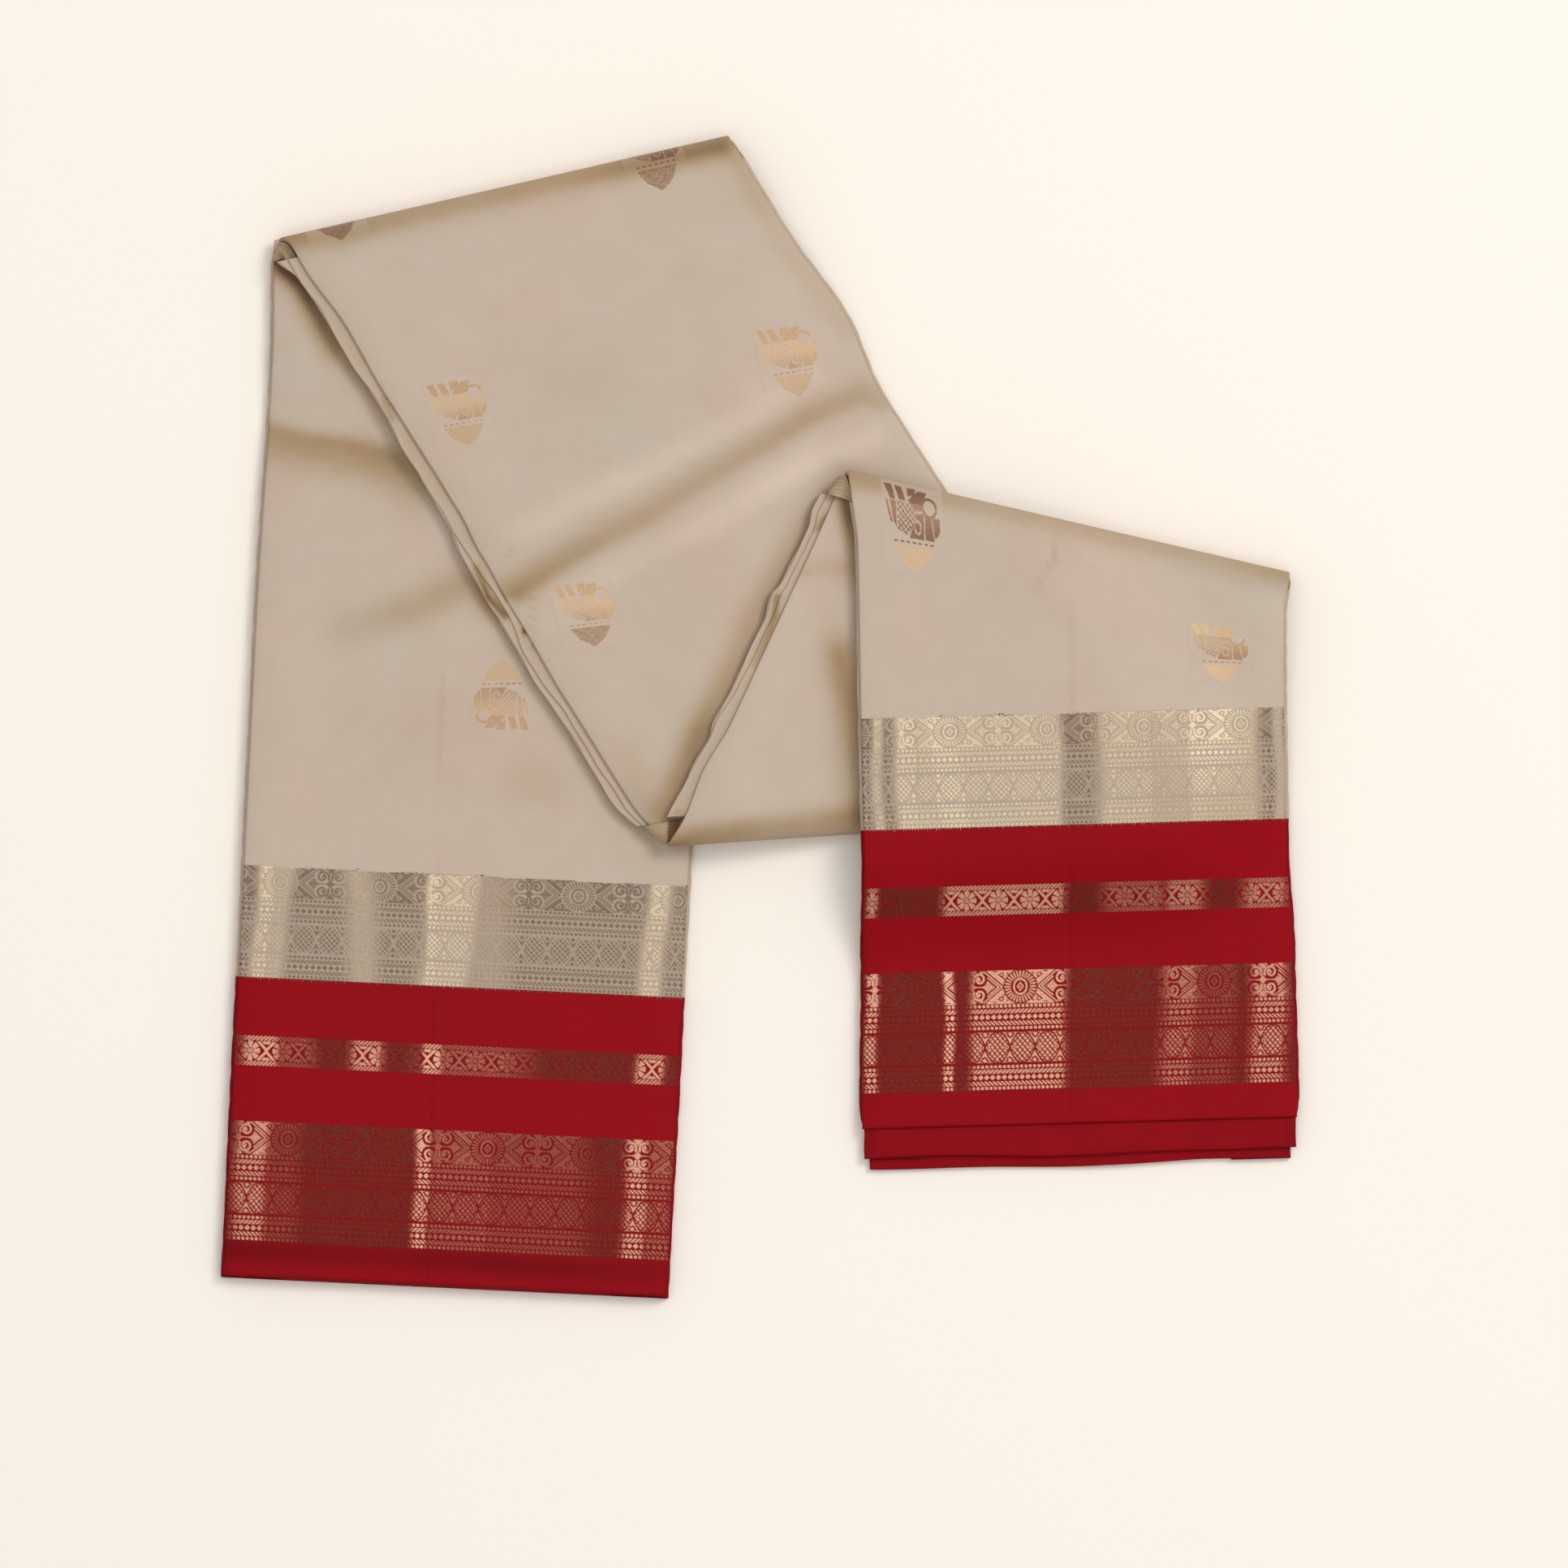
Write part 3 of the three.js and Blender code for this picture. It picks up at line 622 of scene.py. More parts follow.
# How each band's figures are placed and stretched. first is the middle of a medallion or rosette,
# in from the left edge, widen is across the leg and scale along it.
bandLooks = {
    "leftLeg": {
        "wide": {"scale": 1.0, "first": 23.5, "widen": 1.03},
        "narrow": {"scale": 1.0, "first": 6.0, "widen": 1.02},
        "cream": {"scale": 0.928, "first": 15.2, "widen": 1.024},
    },
    "rightLeg": {
        "wide": {"scale": 1.0, "first": 24.4, "widen": 1.0},
        "narrow": {"scale": 1.0, "first": 3.1, "widen": 1.0},
        "cream": {"scale": 0.928, "first": 36.4, "widen": 1.0},
    },
}


def bandFigures(stretch, offset, fromHem):
    looks = bandLooks[stretch["name"]]
    figure = np.full(np.shape(offset), -figureReach)
    for band, low, high, figures, bolder in (  # bolder is what a line gains on each side
        ("wide", bands["edge"] + 0.6, bands["wide"] - 0.6, wideFigures, 0.0),
        ("narrow", bands["between"], bands["narrow"], narrowFigures, 0.0),
        ("cream", bands["join"] + 0.4, bands["cream"] - 0.6, wideFigures, -0.02),
    ):
        look = looks[band]
        inBand = (fromHem > low) & (fromHem < high)
        u = (offset[inBand] - look["first"]) / look["widen"]
        v = (high - fromHem[inBand]) / look["scale"]
        figure[inBand] = figures(u, v) + bolder
    short = bands["join"] - fromHem  # frayed ends of the cream weft, over the red
    inBand = (short >= 0) & (short < bands["weftEnds"])
    tooth, near = offset[inBand], short[inBand]
    length = 0.5 + 0.45 * np.sin(tooth * 0.9) * np.sin(tooth * 2.3 + 1) + 0.3 * np.sin(tooth * 5.1)
    figure[inBand] = within(length - near, 0.2 - np.abs(repeated(tooth, 1.25)))
    return np.clip(figure, -figureReach, figureReach)


# Painted highlights on the gold, stripe by stripe across each leg, where it catches the light. Each
# stripe: its middle, in from the left edge, at the low and at the high end of the band, half its
# width, how far it fades beyond that, and its strength, where 1 is brightest.
leastGlow, weftGlow = 0.06, 0.62  # between the stripes, and on the ends of cream weft
paintedLustre = {
    "leftLeg": {
        "wide": (
            (8, 9, 4.0, 6, 0.75), (19, 19, 5, 9, 0.32), (80, 80, 1.5, 2.5, 0.85),
            (95, 97, 12, 6, 0.5), (124, 122, 20, 14, 0.38), (169, 169, 2.5, 4, 0.8),
            (178, 178, 4, 3, 0.5),
        ),
        "narrow": (
            (10, 10, 5, 6, 0.82), (24, 24, 4, 8, 0.45), (54, 54, 4, 5, 0.75),
            (82, 82, 2.5, 3, 0.85), (98, 98, 12, 20, 0.5), (172, 172, 4.5, 3, 0.76),
        ),
        "cream": (
            (8, 10, 1.5, 4, 0.9), (11, 15, 4, 5, 0.7), (52, 47, 2, 8, 0.62),
            (79, 79.5, 1.2, 3, 0.95), (85, 90, 6, 10, 0.84), (100, 100, 6, 12, 0.5),
            (170, 173, 2.5, 4, 0.86),
        ),
    },
    "rightLeg": {
        "wide": (
            (3.0, 3, 1.4, 1.6, 0.85), (36.2, 35, 0.9, 1.4, 0.92), (64, 64, 20, 4, 0.8),
            (130, 132, 4, 7, 0.6), (143, 144, 6, 8, 0.34), (168, 168, 5, 5, 0.72),
        ),
        "narrow": (
            (2.8, 3, 1.0, 1.6, 0.75), (58, 58, 26, 5, 0.8), (112, 112, 10, 8, 0.55),
            (133, 133, 5, 7, 0.68), (166, 166, 6, 7, 0.62),
        ),
        "cream": (
            (6, 6, 0.8, 1.8, 0.8), (19, 18, 3, 4, 0.92), (52, 52, 33, 4, 0.83),
            (38, 32, 4, 9, 0.97), (110, 110, 9, 8, 0.8), (127, 127, 7, 9, 0.68),
            (149, 149, 13, 8, 0.84), (173, 173, 0.8, 2, 0.75),
        ),
    },
}


def paintedBandLustre(stretch, offset, fromHem):
    glow = np.full(fromHem.shape, weftGlow)
    weft = bands["join"] - bands["weftEnds"] - 0.1
    for band, start, end in (
        ("wide", 0.0, bands["wide"] + 5),
        ("narrow", bands["wide"] + 5, weft),
        ("cream", bands["join"], bands["cream"] + 1),
    ):
        inBand = (fromHem >= start) & (fromHem <= end)
        up = (fromHem[inBand] - start) / (end - start)
        here = np.full(up.shape, leastGlow)
        for low, high, half, soft, strength in paintedLustre[stretch["name"]][band]:
            wander = 0.5 * np.sin(fromHem[inBand] / 7.0 + low)
            away = np.abs(offset[inBand] - mixed(low, high, up) + wander) - 0.85 * half
            fade = smooth(away / (1.15 * soft + 1.5))  # no stripe has a hard edge
            here = np.maximum(here, strength * (1 - fade))
        glow[inBand] = here
    return glow


# The rounded edge of a face and of a hem, as distance in and drop
edgeRound = [(0.25, 1.6), (-0.25, 1.35), (-0.42, 0.9), (-0.3, 0.4), (0.0, 0.12), (0.5, 0.0)]
hemRound = [(0.2, 1.5), (0.0, 0.9), (0.15, 0.4), (0.6, 0.08)]


# Columns across a face: the rounded left edge, even steps, the rounded right edge
def faceColumns(count):
    left = [(fixed, 0.0, drop) for fixed, drop in edgeRound]
    right = [(-fixed, 1.0, drop) for fixed, drop in reversed(edgeRound)]
    inner = [(mixed(0.5, -0.5, share), share, 0.0) for share in np.arange(1, count) / count]
    return np.array(left + inner + right).T


# The place of each point on the cloth, and its painted shade
def clothFacts(offset, along, stretch, shade):
    fromHem = fromHemAt(stretch, along)
    place = np.stack([offset, np.where(fromHem < noHem, fromHem, along), 0 * offset], axis=-1)
    return {"cloth": place.reshape(-1, 3), "shade": shade.ravel()}


def evenRows(start, end, spacing):
    steps = max(1, round(abs(end - start) / spacing))
    return np.linspace(start, end, steps + 1)


# Rows round a hem: distance along the stretch, and drop
def hemRows(hem, inward):
    return [(hem + inward * run, drop) for run, drop in hemRound]


# The layer on top of a stretch, from row to row. fold says that it goes on round the fold that
# the stretch starts from, woven that it carries bands.
def faceSheet(name, stretch, rows, columns, material, node, slot, fold=False, woven=False):
    fixed, share, drop = faceColumns(columns)
    along, rowDrop = (np.array(column)[:, None] for column in zip(*rows))
    full = along + 0 * fixed
    sunk = np.maximum(drop, rowDrop)
    wall = packet["thickness"] - sunk
    points, offset = clothPoints(stretch, full, fixed + 0 * full, share + 0 * full, wall, 1.0)
    # painted shade: darker where the face's edge rounds down, plus the painted shade paths
    shade = np.clip(sunk / packet["faceWall"], 0, 1) * 0.6 + paintedShadeAt(stretch, points)
    if fold:
        angle = np.radians(np.linspace(-90, 84, 24))[:, None] + 0 * fixed  # the first row is at 90
        radius = 1 - drop / packet["thickness"] + 0 * angle
        turn, turnOffset = foldPoints(stretch, angle, radius, fixed + 0 * angle, share + 0 * angle)
        # painted shade round the fold, darkest at the fold line, plus the painted shade paths
        turnShade = 0.2 * np.cos(angle) ** 2 + paintedShadeAt(stretch, turn)
        points = np.concatenate([turn, points])
        offset = np.concatenate([turnOffset, offset])
        turnAlong = packet["rounding"] * np.sin(angle) - packet["rounding"]
        full = np.concatenate([turnAlong + 0 * turnOffset, full])
        shade = np.concatenate([turnShade, shade])
    faces = gridFaces(*points.shape[:2], flip=stretch["name"] in ("leftLeg", "third"))
    facts = clothFacts(offset, full, stretch, shade)
    if woven:
        fromHem = fromHemAt(stretch, full)
        facts["zari"] = bandFigures(stretch, offset, fromHem).ravel()
        facts["paintedLustre"] = paintedBandLustre(stretch, offset, fromHem).ravel()
        # dark gold threads in the ground beside the figures, plus painted shade where the painted
        # lustre is low
        nearGold = facts["zari"] > -figureReach + 0.01
        facts["goldThreadAndShade"] = np.where(nearGold, 1 - 0.4 * facts["paintedLustre"], 0)
    return makePiece(name, points, faces, facts, material, node, slot)


# The edge of a ply, from its top round its nose to its underside
plyMargin = (24.0, 15.0, 10.0, 6.0, 3.0, 1.4, 0.5, 0.0)  # in from the edge
plyNose = ((0.30, 0.36), (0.42, 0.0), (0.30, -0.36))  # out and up, in thicknesses
plyUnder = (0.0, 1.4, 6.0)  # in again
# painted shade of a ply's edge, row by row: darker far in under the ply above and round its nose to its
# underside
plyShade = (0.4, 0.4, 0.36, 0.24, 0.18, 0.15, 0.12, 0.1, 0.1, 0.14, 0.22, 0.4, 0.6, 0.8)
plyGrid = {"lip": 1.6, "plain": 4.0, "underside": 6.0}  # how finely plies are divided along


# How far a ply reaches out past the edge of the face, from the distance along the stretch. short
# is how far in it is at its hem.
def plyReach(stretch, side, ply, short=0.0):
    table = lips[stretch["lip"] if side == "left" else "plain"]
    isTop = ply == packet["plies"] - 1
    seed = stretch["order"] + ply * 2.3 + (0 if side == "left" else 1.5)

    def reach(along):
        out = fromTable(table, along / stretch["length"], "top" if isTop else "under")
        out = out + 0.3 * np.sin(along / 8.1 + seed) + 0.2 * np.sin(along / 3.3 + 2 * seed)
        return out - short * smooth((along - stretch["length"] + 6) / 6)

    return reach


# One rounded edge of a ply along a stretch
def plyEdge(stretch, alongs, low, high, ply, side, short):
    reach = plyReach(stretch, side, ply, short)
    along = np.array(alongs, float)[:, None]
    out, size, middle = reach(along), high - low, (high + low) / 2
    inward, heights = [], []
    for distance in plyMargin:
        inward.append(distance - out)
        heights.append(high - 0.12 * min(1.0, distance / 6))  # clear of the ply above
    for nose, up in plyNose:
        inward.append(-out - nose * size)
        heights.append(middle + up * size)
    for distance in plyUnder:
        inward.append(distance - out)
        heights.append(low)
    inward = np.concatenate(inward, axis=1)
    height = np.array(heights) + 0 * inward
    fixed, share = (inward, 0 * inward) if side == "left" else (-inward, 0 * inward + 1)
    full = along + 0 * inward
    points, offset = clothPoints(stretch, full, fixed, share, height, height / packet["thickness"])
    return points, offset, full, np.array(plyShade) + paintedShadeAt(stretch, points, "lipShades")


# Several grids of points as one mesh
def joinGrids(grids):
    points, faces, facts, start = [], [], {}, 0
    for grid in grids:
        points.append(grid["points"].reshape(-1, 3))
        rows, columns = grid["points"].shape[:2]
        faces.append(gridFaces(rows, columns, start, grid["flip"]))
        start += rows * columns
        for fact, values in grid["facts"].items():
            facts.setdefault(fact, []).append(values)
    facts = {fact: np.concatenate(values) for fact, values in facts.items()}
    return np.concatenate(points), np.concatenate(faces), facts


# The end of one ply at a hem: its top and underside, rounded over the edge
def plyHem(stretch, start, end, low, high, toward, short):
    share = np.linspace(0, 1, 25)
    fixed = mixed(short - 0.3, 0.3 - short, share)
    size, middle = high - low, (high + low) / 2
    wave = 0.7 * np.sin(share * 5.3 + 3 * short) + 0.4 * np.sin(share * 13.1 + 5 * short)
    runs = list(evenRows(start, end - toward * 0.4, 3.5))
    along = runs + [end - toward * back for back in (0.1, 0, 0.1, 0.5, 4)]
    height = [high] * len(runs) + [middle + 0.36 * size, middle, middle - 0.36 * size, low, low]
    along, height = (np.array(values, float)[:, None] + 0 * share for values in (along, height))
    nearHem = np.clip(1 - np.abs(along - end) / 10, 0, 1)
    along = along + wave * nearHem * (short > 1)  # only the lower hems wave
    fixed, wide = fixed + 0 * along, share + 0 * along
    points, offset = clothPoints(stretch, along, fixed, wide, height, height / packet["thickness"])
    # painted shade round the end of a ply, darker towards its underside
    deep = np.array([0.06] * len(runs) + [0.04, 0.1, 0.4, 0.7, 0.9])[:, None] + 0 * share
    return points, offset, along, deep


# The hidden plies of a stretch, between two distances along it. hems has a row for each ply from
# the lowest up: how far it reaches past the hem of the face, and how far in its sides are.
def pliesOf(name, stretch, start, end, material, node, slot, hems=None):
    grids = []
    count = packet["plies"]
    runsAway = stretch["name"] in ("leftLeg", "third")
    toward = {"from": -1, "to": 1, None: 0}[stretch["hemAt"]] if hems else 0
    for ply in range(count):
        low, high = layersTop * ply / count + 0.05, layersTop * (ply + 1) / count - 0.05
        hem, short = hems[ply] if toward else (0.0, 0.0)
        first = start - hem if toward < 0 else start
        last = end + hem if toward > 0 else end
        for side in ("left", "right"):
            hasLip = side == "left" and stretch["lip"] != "plain"
            alongs = evenRows(first, last, plyGrid["lip"] if hasLip else plyGrid["plain"])
            points, offset, full, shade = plyEdge(stretch, alongs, low, high, ply, side, short)
            facts = clothFacts(offset, full, stretch, shade)
            grids.append({"points": points, "facts": facts, "flip": (side == "left") == runsAway})
        if toward:
            hem = last if toward > 0 else first
            inner = hem - toward * plyMargin[0]
            points, offset, full, shade = plyHem(stretch, inner, hem, low, high, toward, short)
            facts = clothFacts(offset, full, stretch, shade)
            grids.append({"points": points, "facts": facts, "flip": runsAway == (toward > 0)})
    share = np.linspace(0, 1, 25)  # the underside
    along = evenRows(start, end, plyGrid["underside"])[:, None] + 0 * share
    inset = mixed(2.0, -2.0, share) + 0 * along
    points, offset = clothPoints(stretch, along, inset, share + 0 * along, 0.06, 0.0)
    # painted shade on the underside
    facts = clothFacts(offset, along, stretch, 0.3 + 0 * along)
    grids.append({"points": points, "facts": facts, "flip": not runsAway})
    return makePiece(name, *joinGrids(grids), material, node, slot)


# The sides of a fold: nested plies round the half turn. turnNose is the share of a ply's
# thickness, and how far out its edge is there.
turnNose = ((0.03, -0.55), (0.15, -0.12), (0.5, 0.0), (0.85, -0.12), (0.97, -0.55))
turnSteps = 17


def foldSides(stretch, material):
    grids = []
    count = packet["plies"]
    levels = np.array([(ply + share) / count for ply in range(count) for share, out in turnNose])
    nose = np.array([out for ply in range(count) for share, out in turnNose])
    radius = (layersTop * levels + packet["seamGap"]) / packet["thickness"]
    ply = np.minimum((levels * count).astype(int), count - 1)
    angle = np.radians(np.linspace(-90, 90, turnSteps))[:, None] + 0 * levels
    turned = smooth((np.sin(angle) + 1) / 2)
    for side in ("left", "right"):
        before = stretches[stretch["before"]]
        upper = np.array([float(plyReach(stretch, side, p)(0.0)) for p in ply])
        end = before["length"]
        lower = np.array([float(plyReach(before, side, count - 1 - p)(end)) for p in ply])
        relief = stretch.get("sideRelief", 1.0) if side == "left" else 1.0
        out = mixed(lower, upper, turned) + nose * relief
        fixed, share = (-out, 0 * out) if side == "left" else (out, 0 * out + 1)
        points, offset = foldPoints(stretch, angle, radius + 0 * angle, fixed, share)
        # painted shade between the plies, where their noses sink in, plus the painted sideShades
        shade = 0.3 - nose * relief + paintedShadeAt(stretch, points, "sideShades")
        facts = clothFacts(offset, 0 * angle, stretch, shade)
        flip = (side == "left") == (stretch["name"] in ("leftLeg", "third"))
        grids.append({"points": points, "facts": facts, "flip": flip})
    return makePiece(stretch["name"] + "FoldSides", *joinGrids(grids), material)


def paint(red, green, blue):  # a colour read off a screen, 0 to 255
    def linear(level):
        level = level / 255
        return level / 12.92 if level <= 0.04045 else ((level + 0.055) / 1.055) ** 2.4

    return (linear(red), linear(green), linear(blue), 1.0)


# Painted shading: colours go from lit silk where it lies flat to painted shade where it turns away,
# and to painted deep shade in a fold
silks = {
    "cream": {
        "colours": (paint(195, 178, 163), paint(167, 142, 110), paint(105, 74, 48)),
        "sheen": 0.12,
        "gloss": 0.25,
    },
    "red": {
        "colours": (paint(146, 8, 22), paint(100, 5, 14), paint(52, 3, 8)),
        "sheen": 0.02,
        "gloss": 0.06,
    },
}
weave = {  # scales are per millimetre of cloth
    # painted highlight at 0, where the silk is made lighter, and painted deep shade at 1
    "shadeStops": (0.2, 0.6),  # where the first two colours lie from 0, turned to the light, to 1
    "brighter": 1.25,  # how much lighter it gets there
    "slubScale": 0.06,  # uneven threads
    "slubMiddle": 0.42,
    "slubDepth": 0.16,
    "tintScale": 0.014,  # the silk's slow change of tint
    "tints": ((0.955, 0.975, 0.965, 1.0), (1.0, 0.95, 0.93, 1.0)),
    "tintFrom": 0.36,
    "tintTo": 0.64,
    "threadPitch": 0.36,  # millimetres
    "roughness": 0.6,
    "relief": 0.12,
    "threadHeight": 0.00006,  # metres
}
# painted shading: dark gold is painted shade, bright gold a painted highlight, set by the painted
# lustre
gold = {  # colours from where it turns away from the light to where it catches it
    "onCream": (paint(116, 95, 78), paint(154, 134, 112), paint(222, 202, 168)),
    "onRed": (paint(92, 32, 25), paint(150, 80, 65), paint(236, 186, 156)),
    "onButta": (paint(130, 94, 77), paint(170, 139, 108), paint(204, 174, 136)),
    "edge": 0.13,  # millimetres over which a figure's edge fades
    "grain": 0.8,  # flecks
    "grainScale": 1.6,
    # dark gold threads in the ground beside the figures, and painted shade there where the painted
    # lustre is low
    "goldThreadAndShadeShare": 0.42,  # how much dark gold shows in the ground beside the figures
    "metal": 0.35,
    "roughness": 0.45,
    "relief": 0.35,
}


def newMaterial(name):
    material = bpy.data.materials.new(name)
    material.use_nodes = True
    nodes = material.node_tree.nodes
    return material, nodes, material.node_tree.links, nodes["Principled BSDF"]


# Plain silk, and the same silk with gold figures where gilt names their colours
def silkMaterial(name, kind, gilt=None):
    material, nodes, links, shader = newMaterial(name)

    def put(value, socket):
        if isinstance(value, bpy.types.NodeSocket):
            links.new(value, socket)
        else:
            socket.default_value = value

    def addNode(nodeKind, **values):
        node = nodes.new("ShaderNode" + nodeKind)
        for socket, value in values.items():
            put(value, node.inputs[socket.replace("_", " ")])
        return node

    def readFact(fact, socket="Fac"):
        node = addNode("Attribute")
        node.attribute_name = fact
        return node.outputs[socket]

    def maths(operation, first, second, clamp=False):
        node = addNode("Math")
        node.operation, node.use_clamp = operation, clamp
        put(first, node.inputs[0])
        put(second, node.inputs[1])
        return node.outputs[0]

    def mixColours(share, first, second, blend="MIX"):
        node = addNode("Mix")
        node.data_type, node.blend_type = "RGBA", blend
        put(share, node.inputs["Factor"])
        put(first, node.inputs[6])
        put(second, node.inputs[7])
        return node.outputs[2]

    def colourRamp(share, first, last, *between):
        node = addNode("ValToRGB", Fac=share)
        stops = node.color_ramp.elements
        stops[0].color, stops[1].color = first, last
        for at, colour in between:
            stops.new(at).color = colour
        return node.outputs["Color"]

    lit, halfShade, deep = silks[kind]["colours"]
    place = readFact("cloth", "Vector")
    slub = addNode("TexNoise", Vector=place, Scale=weave["slubScale"], Detail=6).outputs["Fac"]
    uneven = maths("MULTIPLY", maths("SUBTRACT", slub, weave["slubMiddle"]), weave["slubDepth"])
    turned = maths("ADD", uneven, readFact("shade"))
    litAt, halfShadeAt = weave["shadeStops"]
    turned = maths("ADD", maths("MULTIPLY", turned, 1 - litAt), litAt)
    brightest = tuple(min(1.0, weave["brighter"] * part) for part in lit)
    colour = colourRamp(turned, brightest, deep, (litAt, lit), (halfShadeAt, halfShade))
    drift = addNode("TexNoise", Vector=place, Scale=weave["tintScale"], Detail=3).outputs["Fac"]
    spread = addNode("MapRange", Value=drift, From_Min=weave["tintFrom"], From_Max=weave["tintTo"])
    colour = mixColours(1.0, colour, mixColours(spread.outputs["Result"], *weave["tints"]), "MULTIPLY")
    threads = addNode("TexWave", Vector=place, Scale=0.314 / weave["threadPitch"], Distortion=0.6)
    threads.bands_direction = "Y"
    height = threads.outputs["Fac"]
    for socket, value in (
        ("Roughness", weave["roughness"]),
        ("Sheen Weight", silks[kind]["sheen"]),
        ("Sheen Roughness", 0.4),
        ("Sheen Tint", lit),
        ("Specular IOR Level", silks[kind]["gloss"]),
    ):
        shader.inputs[socket].default_value = value
    if gilt:
        edge = gold["edge"]
        figure = addNode("MapRange", Value=readFact("zari"), From_Min=-edge, From_Max=edge)
        figure = figure.outputs["Result"]
        grain = addNode("TexNoise", Vector=place, Scale=gold["grainScale"], Detail=3).outputs["Fac"]
        fleck = maths("MULTIPLY", maths("SUBTRACT", grain, 0.5), gold["grain"])
        glow = maths("ADD", fleck, readFact("paintedLustre"), clamp=True)
        dark, middle, bright = gilt
        thread = colourRamp(glow, dark, bright, (0.5, middle))
        goldThreadAndShade = maths("MULTIPLY", readFact("goldThreadAndShade"), gold["goldThreadAndShadeShare"])
        colour = mixColours(figure, mixColours(goldThreadAndShade, colour, dark), thread)
        put(maths("MULTIPLY", figure, gold["metal"]), shader.inputs["Metallic"])
        rough = addNode("MapRange", Value=figure, To_Min=weave["roughness"], To_Max=gold["roughness"])
        put(rough.outputs["Result"], shader.inputs["Roughness"])
        height = maths("ADD", maths("MULTIPLY", height, 0.4), figure)
    put(colour, shader.inputs["Base Color"])
    relief = gold["relief"] if gilt else weave["relief"]
    bump = addNode("Bump", Strength=relief, Distance=weave["threadHeight"], Height=height)
    put(bump.outputs["Normal"], shader.inputs["Normal"])
    return material


creamSilk = silkMaterial("creamSilk", "cream")
redSilk = silkMaterial("redSilk", "red")
creamZari = silkMaterial("creamZari", "cream", gold["onCream"])
redZari = silkMaterial("redZari", "red", gold["onRed"])
buttaZari = silkMaterial("buttaZari", "cream", gold["onButta"])

left, diagonal, third, right = stretches.values()
# Where along a stretch the fold that it starts from ends, and where the one that it goes into begins
foldRun, foldEnd = {}, {}
for name, stretch in stretches.items():
    foldRun[name] = packet["rounding"] / stretch["slants"][0]
    foldEnd[name] = stretch["length"] - packet["rounding"] / stretch["slants"][1]
faceEnd = 0.6  # a face ends this far short of the fold it goes into

bodyGrid, bandGrid = 2.4, 0.42  # how finely plain silk and woven bands are divided along
bodyColumns, bandColumns = 80, 436  # and across


# Distances from the hem for the rows of a border, fine where a band is woven
def borderRows():
    places = [1.5]  # past the rounded hem
    places += [bands[name] for name in ("edge", "wide", "between", "narrow")]
    places += [bands["join"] - bands["weftEnds"], bands["join"]]
    rows = places[:1]
    for part, (start, end) in enumerate(zip(places, places[1:])):
        rows += list(evenRows(start, end, bandGrid if part % 2 else bodyGrid))[1:]
    return rows


# Rows without a drop
def plain(distances):
    return [(distance, 0.0) for distance in distances]


def bodyFace(stretch, start, end, node, fold=True):
    rows = plain(evenRows(start, end, bodyGrid))
    name = stretch["name"] + "Cloth"
    return faceSheet(name, stretch, rows, bodyColumns, creamSilk, node, "cream_silk", fold=fold)


def wovenFace(name, stretch, rows, material, node, slot):
    return faceSheet(name, stretch, rows, bandColumns, material, node, slot, woven=True)


rightEnd = right["length"]
rightJoin = rightEnd - bands["join"]
leftCloth = bodyFace(
    left, bands["cream"] - 1, left["length"] - faceEnd, "left_leg_body", fold=False)
leftBand = wovenFace(
    "leftLegBand", left, plain(evenRows(bands["join"], bands["cream"], bandGrid)),
    creamZari, "left_leg_body", "cream_silk")
leftBorder = wovenFace(
    "leftLegBorder", left, hemRows(0.0, 1) + plain(borderRows()),
    redZari, "left_leg_border", "red_border")
diagonalCloth = bodyFace(
    diagonal, foldRun["diagonal"], diagonal["length"] - faceEnd, "diagonal_body")
thirdCloth = bodyFace(third, foldRun["third"], third["length"] - faceEnd, "third_body")
rightCloth = bodyFace(
    right, foldRun["rightLeg"], rightEnd - bands["cream"] + 1, "right_leg_body")
rightBand = wovenFace(
    "rightLegBand", right, plain(evenRows(rightEnd - bands["cream"], rightJoin, bandGrid)),
    creamZari, "right_leg_body", "cream_silk")
rightBorder = wovenFace(
    "rightLegBorder", right,
    plain(rightEnd - distance for distance in reversed(borderRows())) + hemRows(rightEnd, -1)[::-1],
    redZari, "right_leg_border", "red_border")
print("faces made")


def creamPlies(stretch, start, end, node):
    return pliesOf(stretch["name"] + "Plies", stretch, start, end, creamSilk, node, "cream_silk")


leftPlies = creamPlies(left, bands["join"], foldEnd["leftLeg"], "left_leg_body_layers")
leftHemPlies = pliesOf(
    "leftLegBorderPlies", left, 0.0, bands["join"],
    redSilk, "left_leg_border_layers", "red_border",
    hems=((0.9, 0.2), (1.2, 0.4), (1.0, 0.3), (0.7, 0.2), (0.3, 0), (0.5, 0)))
diagonalPlies = creamPlies(diagonal, foldRun["diagonal"], foldEnd["diagonal"], "diagonal_layers")
thirdPlies = creamPlies(third, foldRun["third"], foldEnd["third"], "third_layers")
rightPlies = creamPlies(right, foldRun["rightLeg"], rightJoin, "right_leg_body_layers")
rightHemPlies = pliesOf(
    "rightLegBorderPlies", right, rightJoin, rightEnd,
    redSilk, ("right_leg_border_second", "right_leg_border_third"), "red_border",
    hems=((16.6, 3.8), (17.0, 4.0), (16.8, 3.9), (12.0, 1.8), (12.5, 1.6), (12.2, 1.7)))
foldSidePieces = [foldSides(stretch, creamSilk) for stretch in (diagonal, third, right)]
print("plies made")

# The small woven motifs: a bird with two tufts, over a row of dashes and a pointed base
buttaSize = {"wide": 26.0, "high": 33.0, "grid": 0.42, "raised": 0.05}
buttaLean = {"leftLeg": 0.0, "diagonal": 0.36, "rightLeg": 0.0}  # to the slanting sides
